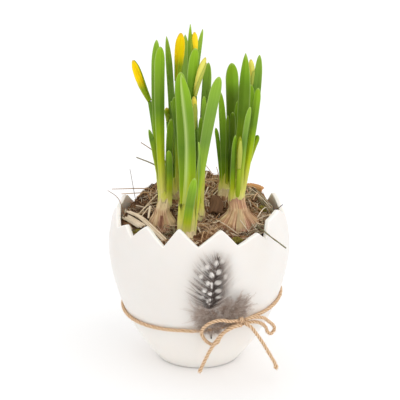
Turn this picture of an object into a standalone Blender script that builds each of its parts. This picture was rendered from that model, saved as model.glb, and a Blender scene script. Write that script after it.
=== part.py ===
"""Dwarf daffodils in bud, growing from their bulbs in a white eggshell pot.

The pot is one ceramic shell whose rim is broken into teeth. It is filled with
potting soil under a mulch of straw, reed, bark and moss. Six bulbs sit in the
soil and each carries one leafy shoot. A jute twine is tied round the pot in a
bow, and a spotted feather with its down is tucked behind the knot.

Sizes are in millimetres here. make_object turns them into metres. The origin is
the centre of the pot's flat base, +Z is up and the bow is at the front, at -Y.
An azimuth is in degrees from the front, towards +X.
"""

import math
import random

import bmesh
import bpy
from mathutils import Vector

MM = 0.001
GAP = 0.3

# Colours and roughness of the materials.
CERAMIC = ((0.86, 0.84, 0.81), 0.42)
SOIL = ((0.24, 0.15, 0.09), 0.95)
STRAW = ((0.72, 0.56, 0.36), 0.85)
GREEN_STRAW = ((0.42, 0.42, 0.28), 0.8)
BARK = ((0.3, 0.18, 0.1), 0.85)
MOSS_GREEN = ((0.3, 0.3, 0.04), 1.0)
BULB_SKIN = ((0.42, 0.24, 0.13), 0.75)
LEAF_GREEN = ((0.2, 0.42, 0.05), 0.4)
PETAL_YELLOW = ((0.85, 0.62, 0.03), 0.5)
JUTE = ((0.55, 0.37, 0.2), 0.95)
FEATHER_GREY = ((0.12, 0.1, 0.09), 0.9)
DOWN_GREY = ((0.2, 0.15, 0.12), 1.0)

# Pot: height and outer radius down the egg, and the broken rim's tips and notches.
POT_PROFILE = (
    (0.0, 29.2),
    (8.0, 35.8),
    (20.0, 44.2),
    (36.0, 53.2),
    (55.0, 60.2),
    (75.0, 64.8),
    (92.0, 65.6),
    (116.0, 60.5),
    (125.0, 56.5),
)
POT_WALL = 3.3
POT_FLOOR = 5.0
RIM_BEVEL = 0.7
RIM_UPRIGHT = 5.0
RIM_SHOULDER = 94.0
POT_OUTER_RINGS = (0.0, 10.0, 24.0, 42.0, 65.0, RIM_SHOULDER)
POT_INNER_RINGS = (RIM_SHOULDER, 66.0, 34.0, POT_FLOOR)
RIM = (
    (-179.0, 105.3),
    (-168.0, 114.5),
    (-158.0, 105.8),
    (-146.0, 115.5),
    (-129.0, 105.0),
    (-112.0, 116.4),
    (-98.0, 105.5),
    (-79.4, 117.3),
    (-67.0, 106.5),
    (-56.8, 111.1),
    (-48.7, 104.7),
    (-37.5, 114.5),
    (-22.8, 103.4),
    (-13.6, 115.7),
    (-0.5, 104.3),
    (15.0, 115.0),
    (25.6, 103.5),
    (41.6, 109.2),
    (47.6, 103.6),
    (54.0, 115.2),
    (70.0, 117.9),
    (92.0, 105.2),
    (109.5, 118.6),
    (126.0, 105.5),
    (139.0, 115.0),
    (151.0, 106.0),
    (166.0, 116.5),
)
TIP_ROUNDING = 0.12

# Soil and mulch: rings of the top, and heaps and dips as x, y, height and spread squared.
SOIL_RINGS = (3.0, 10.0, 17.0, 24.0, 31.0, 38.0, 44.0, 50.0, 56.0)
SOIL_SIDE_TOP = 98.0
SOIL_LEVEL = 105.0
SOIL_SLOPE = 0.09
SOIL_BACK_RISE = 0.0045
SOIL_FALL_FROM = 54.5
SOIL_FALL = 2.0
HEAPS = (
    (-36, 38, 1.6, 150),
    (45, 28, 5.0, 170),
    (8, 48, 1.5, 150),
    (-27, -20, -7.0, 220),
    (30, -25, -3.0, 170),
)
SOIL_SPOKES = 32
SOIL_RELIEF = 1.1
SOIL_CLEARANCE = 0.8
STRAW_COUNT = 12
STRAW_SEED = 7

# Bulbs: centre, largest radius, height of the neck's top, neck radius.
BULBS = {
    "bulb_left": ((-26.5, -2.6, 98.0), 10.8, 112.6, 5.2),
    "bulb_back": ((-16.0, 29.5, 97.0), 11.5, 111.6, 5.0),
    "bulb_front": ((-7.0, -32.0, 85.5), 13.0, 99.6, 6.2),
    "bulb_middle": ((0.0, 5.0, 90.5), 10.2, 103.6, 5.0),
    "bulb_right": ((28.5, -3.5, 97.5), 16.6, 114.4, 6.4),
    "bulb_right_back": ((19.5, 34.0, 98.0), 12.0, 112.4, 6.6),
}

# Shoots: the sheath's centre, its half widths across and in depth, and its height.
SHEATHS = {
    "shoot_left": ((-25.2, 3.6), 4.7, 4.4, 112.8, 12.0),
    "shoot_back": ((-17.3, 27.5), 4.4, 4.4, 112.0, 16.0),
    "shoot_front": ((-8.8, -28.2), 6.8, 5.2, 100.0, 21.0),
    "shoot_middle": ((-0.8, 0.5), 4.9, 5.2, 104.0, 15.0),
    "shoot_right": ((27.4, 3.2), 6.2, 5.2, 114.8, 14.0),
    "shoot_right_back": ((20.4, 33.5), 6.0, 4.4, 112.8, 13.0),
}
SHEATH_SINK = 2.5

# Leaves: shoot, root, middle, tip, width, face azimuth, root width ratio, tip length.
LEAVES = {
    "shoot_left": (
        ((-25.8, 1.4, 114.0), (-27.7, 0.0, 178.6), (-27.0, -2.0, 232.0), 7.7, 200.0, 0.66, 15.0),
        ((-26.8, 5.8, 114.0), (-30.1, 8.0, 176.6), (-29.8, 9.0, 234.7), 7.1, -22.0, 0.7, 20.0),
        ((-26.4, 4.0, 114.0), (-30.6, 3.6, 145.8), (-35.8, 2.0, 171.1), 4.6, 40.0, 0.8, 14.0),
        ((-23.2, 4.0, 114.0), (-21.9, 4.0, 149.5), (-20.0, 3.0, 178.6), 5.4, 25.0, 0.8, 13.0),
        ((-22.2, 1.2, 114.0), (-21.0, -2.0, 138.5), (-21.7, -2.0, 156.7), 4.8, 160.0, 1.0, 8.0),
    ),
    "shoot_back": (
        ((-18.2, 29.4, 113.2), (-20.0, 29.0, 178.7), (-23.3, 26.0, 233.7), 5.6, 32.0, 0.8, 30.0),
        ((-15.4, 29.6, 113.2), (-11.4, 32.0, 178.0), (-9.9, 31.0, 234.1), 7.4, 24.0, 0.6, 28.0),
        ((-15.9, 25.4, 113.2), (-14.9, 21.0, 158.3), (-17.8, 19.0, 190.8), 6.8, 158.0, 0.7, 14.0),
        ((-17.0, 25.2, 113.2), (-16.5, 24.0, 157.5), (-20.2, 23.0, 186.9), 3.0, 30.0, 0.8, 10.0),
    ),
    "shoot_front": (
        ((-9.4, -27.4, 101.4), (-6.0, -22.0, 165.5), (-12.3, -18.0, 215.7), 7.8, 196.0, 1.2, 30.0),
        ((-9.8, -25.8, 101.4), (-10.9, -14.0, 163.0), (-12.7, -11.4, 215.9), 9.2, -20.0, 0.7, 16.0),
        ((-9.4, -32.6, 103.6), (-6.6, -35.4, 125.7), (-2.9, -33.0, 145.3), 6.3, 165.0, 1.0, 13.0),
        ((-4.4, -26.2, 101.4), (4.0, -19.0, 163.0), (14.1, -17.0, 213.9), 8.6, 202.0, 0.5, 16.0),
        ((-3.4, -29.4, 101.4), (0.0, -28.0, 142.0), (-0.2, -27.0, 169.7), 2.4, 60.0, 1.0, 10.0),
    ),
    "shoot_middle": (
        ((-3.0, 2.2, 105.2), (-6.4, 4.4, 182.0), (-6.1, 6.0, 246.3), 4.7, 40.0, 0.8, 30.0),
        ((-1.8, 3.6, 105.2), (-4.8, 8.6, 180.0), (2.7, 10.0, 242.2), 4.4, 25.0, 0.8, 24.0),
        ((-2.9, -1.0, 105.2), (-6.1, -4.0, 178.0), (-2.2, -4.0, 231.3), 7.0, 198.0, 0.7, 14.0),
        ((0.6, 1.6, 105.2), (3.5, 2.4, 168.0), (6.8, 2.0, 219.8), 7.2, -28.0, 0.6, 18.0),
        ((1.0, -1.2, 105.2), (2.9, -3.6, 156.0), (3.4, -4.4, 197.1), 4.4, 30.0, 0.9, 11.0),
        ((-0.6, -2.6, 105.2), (-0.2, -9.6, 150.0), (1.3, -10.0, 183.1), 3.4, 30.0, 0.9, 10.0),
    ),
    "shoot_right": (
        ((26.6, 4.2, 116.0), (30.9, 5.0, 173.7), (32.9, 4.0, 226.2), 8.9, 160.0, 0.6, 34.0),
        ((29.4, 5.6, 116.0), (38.8, 11.0, 172.1), (43.0, 12.0, 223.2), 6.4, -26.0, 0.7, 20.0),
        ((30.0, 3.4, 116.0), (37.3, 2.6, 163.1), (41.9, 2.6, 201.2), 5.3, 160.0, 0.8, 11.0),
        ((29.0, 6.0, 116.0), (35.6, 7.4, 162.3), (36.6, 6.6, 202.9), 6.0, 30.0, 0.7, 12.0),
        ((30.0, 0.8, 116.0), (31.7, -2.0, 155.6), (36.2, -3.0, 188.9), 4.4, 205.0, 0.9, 12.0),
        ((29.4, 6.4, 116.6), (35.2, 8.0, 144.6), (42.5, 5.0, 166.1), 4.6, 150.0, 0.7, 6.0),
        ((24.4, 1.0, 116.0), (24.3, -3.6, 142.8), (25.8, -4.0, 168.5), 3.7, 205.0, 1.2, 12.0),
    ),
    "shoot_right_back": (
        ((18.4, 33.0, 114.0), (17.9, 31.0, 148.0), (15.7, 30.0, 191.9), 5.9, 30.0, 0.8, 18.0),
        ((17.2, 34.0, 114.0), (14.9, 35.0, 143.0), (12.2, 34.0, 164.1), 3.4, 30.0, 0.9, 9.0),
        ((22.4, 31.8, 114.0), (24.0, 25.6, 149.6), (24.3, 24.4, 178.3), 4.4, 155.0, 0.9, 7.0),
        ((20.4, 31.6, 114.0), (21.0, 27.6, 147.0), (20.8, 26.6, 175.4), 2.9, 205.0, 1.0, 9.0),
        ((22.2, 34.8, 114.0), (24.9, 35.0, 165.9), (23.6, 34.0, 212.6), 10.2, 200.0, 0.6, 15.0),
        ((23.6, 33.0, 114.0), (28.6, 29.0, 148.5), (28.6, 27.0, 186.5), 7.5, -25.0, 0.6, 15.0),
    ),
}
LEAF_STEPS = (0.0, 0.22, 0.48, 0.76)
LEAF_TIP_STEPS = (0.0, 0.45, 0.75, 0.93)
LEAF_THICK_ROOT = 1.8
LEAF_THICK_TIP = 1.0
LEAF_EDGE = 0.7
LEAF_FOLD = 0.17
LEAF_BLUNT = 12.0

# Flower buds: shoot, stalk root, stalk middle, stalk top, bud middle, bud tip, largest radius.
BUDS = {
    "bud_left": (
        "shoot_left",
        ((-26.0, 5.6, 114.0), (-30.8, 11.4, 156.3), (-35.4, 13.0, 189.0)),
        ((-41.7, 13.0, 203.3), (-47.0, 13.0, 219.0)),
        2.8,
    ),
    "bud_tall": (
        "shoot_back",
        ((-16.6, 27.2, 113.2), (-16.8, 25.6, 160.0), (-16.0, 25.0, 201.0)),
        ((-14.2, 25.0, 218.8), (-12.9, 25.0, 236.3)),
        3.6,
    ),
    "bud_small_back": (
        "shoot_back",
        ((-18.4, 26.4, 113.2), (-20.8, 26.0, 146.0), (-22.6, 24.5, 171.0)),
        ((-23.0, 24.2, 176.6), (-23.6, 24.0, 181.8)),
        1.9,
    ),
    "bud_middle": (
        "shoot_middle",
        ((-1.4, 1.2, 105.2), (-2.4, 0.8, 166.0), (-3.3, 0.8, 220.4)),
        ((-3.1, 0.8, 231.1), (-3.1, 0.8, 241.8)),
        2.3,
    ),
    "bud_spathe": (
        "shoot_middle",
        ((0.6, -0.8, 105.2), (-1.2, -5.6, 152.0), (-3.1, -6.0, 197.2)),
        ((0.0, -6.0, 211.2), (4.6, -6.0, 225.1)),
        2.3,
    ),
    "bud_small_front": (
        "shoot_middle",
        ((-2.0, -2.2, 105.2), (-3.1, -9.0, 146.0), (-3.4, -9.6, 174.1)),
        ((-3.4, -9.6, 186.9), (-3.6, -9.6, 198.1)),
        2.2,
    ),
    "bud_right": (
        "shoot_right",
        ((28.8, 6.2, 116.0), (35.1, 12.4, 160.0), (37.7, 14.0, 200.1)),
        ((37.6, 14.0, 210.3), (36.8, 14.0, 219.5)),
        2.1,
    ),
    "bud_small_right": (
        "shoot_right",
        ((27.4, 1.0, 116.0), (28.2, -2.6, 131.5), (28.6, -4.2, 143.6)),
        ((28.9, -5.2, 156.0), (29.2, -5.2, 167.8)),
        1.7,
    ),
}
STALK_RADIUS = 1.55
BUD_CLEARANCE = 0.4

# Loose mulch: pieces big enough to be picked out by hand, as route, width,
# thickness and how far the strip is rolled over towards the front, in degrees.
REEDS = {
    "reed_flat": (((-53.6, 4.0, 105.2), (-47.7, -6.0, 105.2), (-40.4, -18.0, 104.6)), 6.4, 1.1, 12.0),
    "reed_split": (
        ((-51.9, 9.0, 107.4), (-41.8, -5.6, 107.4), (-31.0, -27.0, 104.6), (-23.5, -40.0, 101.6)),
        3.6,
        1.3,
        0.0,
    ),
    "reed_back": (((1.0, 46.0, 120.0), (8.0, 46.0, 120.6), (15.0, 45.0, 119.6)), 3.0, 1.0, 0.0),
    "bark_orange": (((35.0, 42.0, 117.2), (41.7, 37.0, 117.6), (47.7, 30.0, 117.2)), 5.6, 1.0, 52.0),
    "bark_brown": (((11.4, 28.0, 113.5), (13.1, 19.5, 110.0), (10.7, 8.0, 106.6)), 10.0, 1.1, 0.0),
}
OVERHANGING_STALK = (
    (41.6, -16.0, 104.6),
    (43.2, -27.0, 106.4),
    (44.6, -36.0, 108.3),
    (46.4, -43.0, 108.7),
    (50.6, -46.4, 106.2),
    (55.7, -47.4, 102.6),
    (60.6, -47.8, 98.8),
)
OVERHANGING_STALK_RADIUS = 0.65
MOSS = {
    "moss_right": ((46.4, 12.0, 107.4), 4.2, 3.0),
    "moss_front": ((26.4, -42.0, 101.8), 4.4, 2.4),
    "moss_left": ((-43.4, -23.8, 101.6), 4.0, 2.4),
}
# Straws that stand up from the mulch, root first.
STANDING_STRAWS = (
    ((-22.5, 19.0, 108.0), (-24.6, 18.6, 142.0), (-33.8, 17.0, 151.5), (-42.0, 14.0, 158.3)),
    ((-23.4, 20.0, 108.0), (-25.4, 19.0, 134.0), (-32.8, 17.5, 140.7), (-45.5, 15.0, 146.9)),
    ((-45.1, 19.0, 104.0), (-47.8, 21.0, 119.0), (-50.6, 22.0, 136.0)),
    ((-53.0, 5.0, 103.0), (-57.3, 8.5, 114.6), (-60.8, 12.0, 118.6), (-66.6, 12.0, 122.6)),
    ((-28.0, 36.0, 113.0), (-39.0, 33.0, 117.6), (-64.0, 21.0, 121.0)),
    ((-27.0, 41.0, 113.0), (-36.0, 30.0, 115.8), (-57.0, 20.0, 117.6)),
    ((16.0, 44.0, 114.0), (12.0, 47.0, 122.0), (5.0, 50.0, 131.0)),
    ((14.0, 40.0, 114.0), (14.5, 46.0, 124.0), (13.0, 49.0, 130.0)),
    ((46.0, 3.0, 102.0), (54.0, 1.0, 109.6), (60.5, -1.0, 116.0)),
    ((-30.3, 24.0, 110.0), (-37.0, 13.0, 111.4), (-45.1, 0.0, 107.0)),
    ((-34.0, 12.0, 108.6), (-37.0, 7.0, 110.6), (-42.2, -4.0, 107.0)),
    ((35.4, 36.0, 113.0), (43.0, 22.0, 113.4), (51.6, 4.0, 107.6)),
    ((38.5, 38.0, 113.6), (46.0, 24.0, 113.6), (52.6, 8.0, 108.0)),
    ((40.0, -3.0, 103.0), (47.0, 8.0, 110.0), (52.0, 13.0, 109.0)),
    ((53.0, 8.0, 104.0), (51.0, -5.0, 107.6), (48.0, -19.0, 102.0)),
    ((4.0, -19.0, 101.0), (3.0, -31.0, 104.6), (1.0, -46.0, 100.0)),
    ((9.0, -17.0, 101.0), (7.0, -27.0, 104.8), (4.0, -38.0, 100.0)),
)
STANDING_STRAW_RADIUS = 0.6

# Twine: the band's height round the pot, and the bow by azimuth, height and stand-off.
TWINE_RADIUS = 1.1
BAND_HEIGHT = 45.2
BAND_TILT = 6.7
BAND_TILT_FROM = 37.6
BAND_LIFT = 3.0
BAND_LIFT_MIDDLE = 15.0
BAND_PULL = 2.2
BAND_REACH = 32.0
BAND_POINTS = 48
KNOT_AZIMUTH = 27.0
KNOT_HEIGHT = 48.0
KNOT_OFF = 6.5
TURN_RADIUS = 1.25
TURN_PITCH = 2.0
TURN_RISE = 2.4
TURN_DEPTH = 1.1
LOOP_LEFT = (
    (24.2, 49.4, 7.0),
    (18.3, 50.6, 8.5),
    (12.9, 52.6, 9.4),
    (8.0, 51.8, 9.6),
    (3.8, 48.3, 9.2),
    (1.7, 43.6, 8.2),
    (2.4, 38.0, 7.2),
    (5.4, 33.0, 6.8),
    (9.4, 30.2, 6.8),
    (13.0, 32.0, 7.2),
    (13.8, 36.8, 7.8),
    (16.0, 41.1, 8.2),
    (19.0, 44.4, 8.2),
    (24.2, 46.5, 7.0),
)
LOOP_RIGHT = (
    (29.8, 49.3, 7.0),
    (33.0, 49.8, 7.6),
    (37.4, 49.4, 8.0),
    (43.5, 46.8, 8.8),
    (49.6, 41.8, 9.4),
    (54.6, 37.4, 10.8),
    (56.8, 33.4, 12.6),
    (54.6, 30.4, 13.0),
    (50.8, 33.0, 11.4),
    (47.4, 38.2, 9.8),
    (42.6, 42.6, 9.0),
    (37.4, 45.4, 8.2),
    (33.0, 46.3, 7.6),
    (29.8, 46.5, 7.0),
)
# The tails hang free, so they are given as x, y, z.
TAIL_LEFT = (
    (29.5, -61.3, 46.4),
    (25.5, -64.2, 47.0),
    (20.5, -64.6, 44.7),
    (15.7, -64.4, 41.0),
    (12.6, -64.0, 36.8),
    (9.6, -63.8, 31.9),
    (6.4, -63.2, 25.8),
    (2.7, -62.2, 17.3),
    (0.4, -61.0, 11.1),
)
TAIL_RIGHT = (
    (32.1, -59.0, 47.2),
    (36.2, -61.2, 45.4),
    (39.6, -59.8, 40.4),
    (44.9, -57.4, 31.7),
    (49.8, -54.5, 22.0),
    (53.5, -51.4, 14.4),
    (55.2, -49.4, 8.8),
)
TAIL_STEP = 4.6

# Feather: the shaft by azimuth, height and stand-off, and its barbs.
SHAFT = (
    (9.4, 33.0, 1.7),
    (8.2, 45.0, 1.7),
    (7.2, 59.2, 2.2),
    (8.0, 72.2, 2.6),
    (9.1, 85.2, 3.0),
    (11.8, 99.6, 4.4),
)
SHAFT_RADIUS = 0.75
BARB_THICKNESS = 0.7
BARB_ROWS = 11
BARB_OFF = 2.5
BARB_FILL = 0.93
BARB_FIRST = 0.5
BARB_LAST = 0.97
BARB_LEFT = (22.0, 9.0, 60.0, 34.0)
BARB_RIGHT = (15.0, 8.0, 52.0, 30.0)
DOWN_CENTRE = (15.0, 58.8)
DOWN_HALF = (12.5, 6.5)
DOWN_OFF = 4.6
DOWN_THICKNESS = 2.2
DOWN_WISPS = 28
DOWN_FACE_WISPS = 15
DOWN_SEED = 11


def clear_scene():
    for obj in list(bpy.data.objects):
        bpy.data.objects.remove(obj)


def smooth_curve(points, t):
    """The point at t, from 0 to the last index, on a smooth curve through points."""
    last = len(points) - 1
    i = min(int(t), last - 1)
    f = t - i
    here = Vector(points[i])
    there = Vector(points[i + 1])
    before = Vector(points[i - 1]) if i > 0 else here * 2 - there
    after = Vector(points[i + 2]) if i + 2 <= last else there * 2 - here
    leave = (there - before) * 0.5
    arrive = (after - here) * 0.5
    return (
        here * (2 * f**3 - 3 * f**2 + 1)
        + leave * (f**3 - 2 * f**2 + f)
        + there * (-2 * f**3 + 3 * f**2)
        + arrive * (f**3 - f**2)
    )


def pot_radius(height):
    """The pot's outer radius, on a smooth curve through the profile's knots."""
    z = min(max(height, POT_PROFILE[0][0]), POT_PROFILE[-1][0])
    i = 0
    while i < len(POT_PROFILE) - 2 and z > POT_PROFILE[i + 1][0]:
        i += 1

    def slope(k):
        low = POT_PROFILE[max(k - 1, 0)]
        high = POT_PROFILE[min(k + 1, len(POT_PROFILE) - 1)]
        return (high[1] - low[1]) / (high[0] - low[0])

    (z0, r0), (z1, r1) = POT_PROFILE[i], POT_PROFILE[i + 1]
    span = z1 - z0
    f = (z - z0) / span
    return (
        r0 * (2 * f**3 - 3 * f**2 + 1)
        + slope(i) * span * (f**3 - 2 * f**2 + f)
        + r1 * (-2 * f**3 + 3 * f**2)
        + slope(i + 1) * span * (f**3 - f**2)
    )


def around(azimuth, radius, height):
    angle = math.radians(azimuth)
    return Vector((radius * math.sin(angle), -radius * math.cos(angle), height))


def on_pot(azimuth, height, off):
    """A point that stands off the pot's outer face by off."""
    return around(azimuth, pot_radius(height) + off, height)


def make_object(name, points, faces, look=SOIL):
    """A closed mesh in metres, with its own material."""
    mesh = bpy.data.meshes.new(name)
    mesh.from_pydata([tuple(Vector(p) * MM) for p in points], [], faces)
    body = bmesh.new()
    body.from_mesh(mesh)
    bmesh.ops.recalc_face_normals(body, faces=body.faces)
    body.to_mesh(mesh)
    body.free()
    obj = bpy.data.objects.new(name, mesh)
    bpy.context.scene.collection.objects.link(obj)
    finish_material(obj, look)
    return obj


def finish_material(obj, look):
    colour, roughness = look
    material = bpy.data.materials.new(obj.name)
    material.use_nodes = True
    shader = material.node_tree.nodes["Principled BSDF"]
    shader.inputs["Base Color"].default_value = (*colour, 1.0)
    shader.inputs["Roughness"].default_value = roughness
    shader.inputs["Metallic"].default_value = 0.0
    material.diffuse_color = (*colour, 1.0)
    obj.data.materials.clear()
    obj.data.materials.append(material)


def loft(rings, close=True):
    """Points and triangles of a skin over rings of equal length, capped at both ends.

    Each quad is cut from its corner on the earlier ring, so two faces of a thin
    blade whose rings mirror each other are cut alike.
    """
    points = [p for ring in rings for p in ring]
    n = len(rings[0])
    faces = []
    for i in range(len(rings) - 1):
        for j in range(n):
            a = i * n + j
            b = i * n + (j + 1) % n
            c = a + n
            d = b + n
            if j < n // 2:
                faces += [(a, b, d), (a, d, c)]
            else:
                faces += [(a, b, c), (b, d, c)]
    if close:
        faces.append(tuple(range(n)))
        faces.append(tuple(range((len(rings) - 1) * n, len(rings) * n)))
    return points, faces


def frames_along(path):
    """A tangent, side and up direction at each point of a path."""
    frames = []
    side = None
    for i in range(len(path)):
        ahead = path[min(i + 1, len(path) - 1)]
        behind = path[max(i - 1, 0)]
        tangent = (ahead - behind).normalized()
        if side is None:
            helper = Vector((0, 0, 1)) if abs(tangent.z) < 0.9 else Vector((0, 1, 0))
            side = tangent.cross(helper).normalized()
        side = (side - tangent * side.dot(tangent)).normalized()
        frames.append((tangent, side, tangent.cross(side)))
    return frames


def tube(path, radii, sides, flat=1.0):
    rings = []
    for centre, radius, (_, side, up) in zip(path, radii, frames_along(path)):
        rings.append(
            [
                centre
                + side * (radius * math.cos(math.tau * k / sides))
                + up * (radius * flat * math.sin(math.tau * k / sides))
                for k in range(sides)
            ]
        )
    return loft(rings)


def through_three(start, middle, end, t):
    """The point at t on the parabola through three points at t = 0, a half and 1."""
    return (
        Vector(start) * (2 * t * t - 3 * t + 1)
        + Vector(middle) * (4 * t - 4 * t * t)
        + Vector(end) * (2 * t * t - t)
    )


def join_by_union(name, target, others):
    """Fuses the objects into target with one Boolean union and removes them."""
    helpers = bpy.data.collections.new(name + "_pieces")
    bpy.context.scene.collection.children.link(helpers)
    for obj in others:
        bpy.context.scene.collection.objects.unlink(obj)
        helpers.objects.link(obj)
    apply_boolean(target, "UNION", helpers)
    for obj in others:
        bpy.data.objects.remove(obj)
    bpy.data.collections.remove(helpers)


def cut_away(target, cutters):
    """Cuts the objects out of target with one Boolean and removes them."""
    helpers = bpy.data.collections.new(target.name + "_cutters")
    bpy.context.scene.collection.children.link(helpers)
    for obj in cutters:
        bpy.context.scene.collection.objects.unlink(obj)
        helpers.objects.link(obj)
    apply_boolean(target, "DIFFERENCE", helpers)
    for obj in cutters:
        bpy.data.objects.remove(obj)
    bpy.data.collections.remove(helpers)


def apply_boolean(target, operation, helpers):
    modifier = target.modifiers.new("join", "BOOLEAN")
    modifier.operation = operation
    modifier.operand_type = "COLLECTION"
    modifier.collection = helpers
    modifier.solver = "EXACT"
    modifier.use_self = operation == "UNION"
    graph = bpy.context.evaluated_depsgraph_get()
    mesh = bpy.data.meshes.new_from_object(target.evaluated_get(graph))
    target.modifiers.clear()
    target.data = mesh


def keep_largest_body(obj):
    """Drops loose scraps that cutting left."""
    body = bmesh.new()
    body.from_mesh(obj.data)
    body.verts.ensure_lookup_table()
    seen = set()
    groups = []
    for first in body.verts:
        if first in seen:
            continue
        group = []
        waiting = [first]
        seen.add(first)
        while waiting:
            vertex = waiting.pop()
            group.append(vertex)
            for edge in vertex.link_edges:
                other = edge.other_vert(vertex)
                if other not in seen:
                    seen.add(other)
                    waiting.append(other)
        groups.append(group)
    groups.sort(key=len)
    for group in groups[:-1]:
        bmesh.ops.delete(body, geom=group, context="VERTS")
    body.to_mesh(obj.data)
    body.free()


def rim_columns():
    """Azimuth and rim height of each upright line of the pot, tooth by tooth."""
    columns = []
    scale = math.sqrt(1 + TIP_ROUNDING**2) - TIP_ROUNDING
    for k, (azimuth, height) in enumerate(RIM):
        next_azimuth, next_height = RIM[(k + 1) % len(RIM)]
        if next_azimuth < azimuth:
            next_azimuth += 360
        for f in (0.0, 0.38, 0.8):
            tip_is_next = next_height > height
            away = 1 - f if tip_is_next else f
            low = min(height, next_height)
            rise = abs(next_height - height)
            drop = (math.sqrt(away**2 + TIP_ROUNDING**2) - TIP_ROUNDING) / scale
            columns.append((azimuth + (next_azimuth - azimuth) * f, low + rise * (1 - drop)))
    return columns


def make_pot():
    """The pot's shell: up its outer face, over the broken rim and down inside."""
    columns = rim_columns()
    rings = [[around(a, pot_radius(z), z) for a, _ in columns] for z in POT_OUTER_RINGS]
    for inset, below in (
        (0.0, RIM_UPRIGHT),
        (0.0, RIM_BEVEL),
        (RIM_BEVEL, 0.0),
        (POT_WALL - RIM_BEVEL, 0.0),
        (POT_WALL, RIM_BEVEL),
    ):
        rings.append([around(a, pot_radius(z - below) - inset, z - below) for a, z in columns])
    for z in POT_INNER_RINGS:
        rings.append([around(a, pot_radius(z) - POT_WALL, z) for a, _ in columns])
    pot = make_object("pot", *loft(rings), CERAMIC)
    pot.data.shade_smooth()
    pot.data.set_sharp_from_angle(angle=math.radians(40))


def soil_height(x, y):
    """The mulch's height: level at the front, heaped towards the back rim."""
    level = SOIL_LEVEL + SOIL_SLOPE * y + SOIL_BACK_RISE * max(y, 0) ** 2
    for heap_x, heap_y, rise, spread in HEAPS:
        level += rise * math.exp(-((x - heap_x) ** 2 + (y - heap_y) ** 2) / spread)
    return level - SOIL_FALL * max(math.hypot(x, y) - SOIL_FALL_FROM, 0)


def lumps(x, y):
    """Relief of the litter, as crossed waves."""
    return (
        math.sin(x * 0.61 + 1.3) * math.cos(y * 0.53)
        + 0.7 * math.sin(x * 0.29 - y * 0.47)
        + 0.5 * math.sin(x * 1.07 + y * 0.83)
    )


def make_soil_body():
    rings = []
    for radius in SOIL_RINGS:
        ring = []
        for k in range(SOIL_SPOKES):
            spot = around(360 * k / SOIL_SPOKES, radius, 0)
            ease = 1.0 if radius < SOIL_RINGS[-1] else 0.3
            spot.z = soil_height(spot.x, spot.y) + SOIL_RELIEF * ease * lumps(spot.x, spot.y)
            ring.append(spot)
        rings.append(ring)
    for z in (SOIL_SIDE_TOP, *POT_INNER_RINGS[:-1], POT_FLOOR + 2 * GAP):
        radius = pot_radius(z) - POT_WALL - SOIL_CLEARANCE
        rings.append([around(360 * k / SOIL_SPOKES, radius, z) for k in range(SOIL_SPOKES)])
    return make_object("mulch", *loft(rings), SOIL)


def straw_solid(name, points, radius, sides, steps):
    last = len(points) - 1
    path = [smooth_curve(points, last * k / steps) for k in range(steps + 1)]
    radii = [radius * (1.0 if 0 < k < steps else 0.75) for k in range(steps + 1)]
    return make_object(name, *tube(path, radii, sides), STRAW)


def scattered_straws():
    """Short straws laid at random over the mulch, half sunk in it."""
    draw = random.Random(STRAW_SEED)
    straws = []
    while len(straws) < STRAW_COUNT:
        azimuth = draw.uniform(0, 360)
        centre = around(azimuth, 50 * math.sqrt(draw.random()), 0)
        heading = Vector((math.cos(draw.uniform(0, math.tau)), math.sin(draw.uniform(0, math.tau)), 0))
        heading.normalize()
        reach = draw.uniform(6, 13)
        ends = [centre - heading * reach, centre + heading * reach]
        rise = draw.uniform(0.1, 0.9)
        radius = draw.uniform(0.55, 0.95)
        if max(math.hypot(p.x, p.y) for p in ends) > 53:
            continue
        points = []
        for spot in (ends[0], centre, ends[1]):
            points.append((spot.x, spot.y, soil_height(spot.x, spot.y) + rise))
        straws.append(straw_solid(f"straw_{len(straws)}", points, radius, 3, 2))
    return straws


def sheath_solid(name, shoot, grow=0.0, sink=0.0, extra_top=0.0):
    (x, y), across, deep, base, height = SHEATHS[shoot]
    rings = []
    levels = ((0.0, 0.9), (0.3, 1.0), (0.7, 0.92), (1.0, 0.6))
    for level, scale in levels:
        if extra_top and level > 0.3:
            scale = 1.0
        z = base - sink + (height + sink + extra_top) * level
        ring = []
        for k in range(10):
            angle = math.tau * k / 10
            ring.append(
                Vector(
                    (
                        x + (across * scale + grow) * math.cos(angle),
                        y + (deep * scale + grow) * math.sin(angle),
                        z,
                    )
                )
            )
        rings.append(ring)
    return make_object(name, *loft(rings), LEAF_GREEN)


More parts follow.
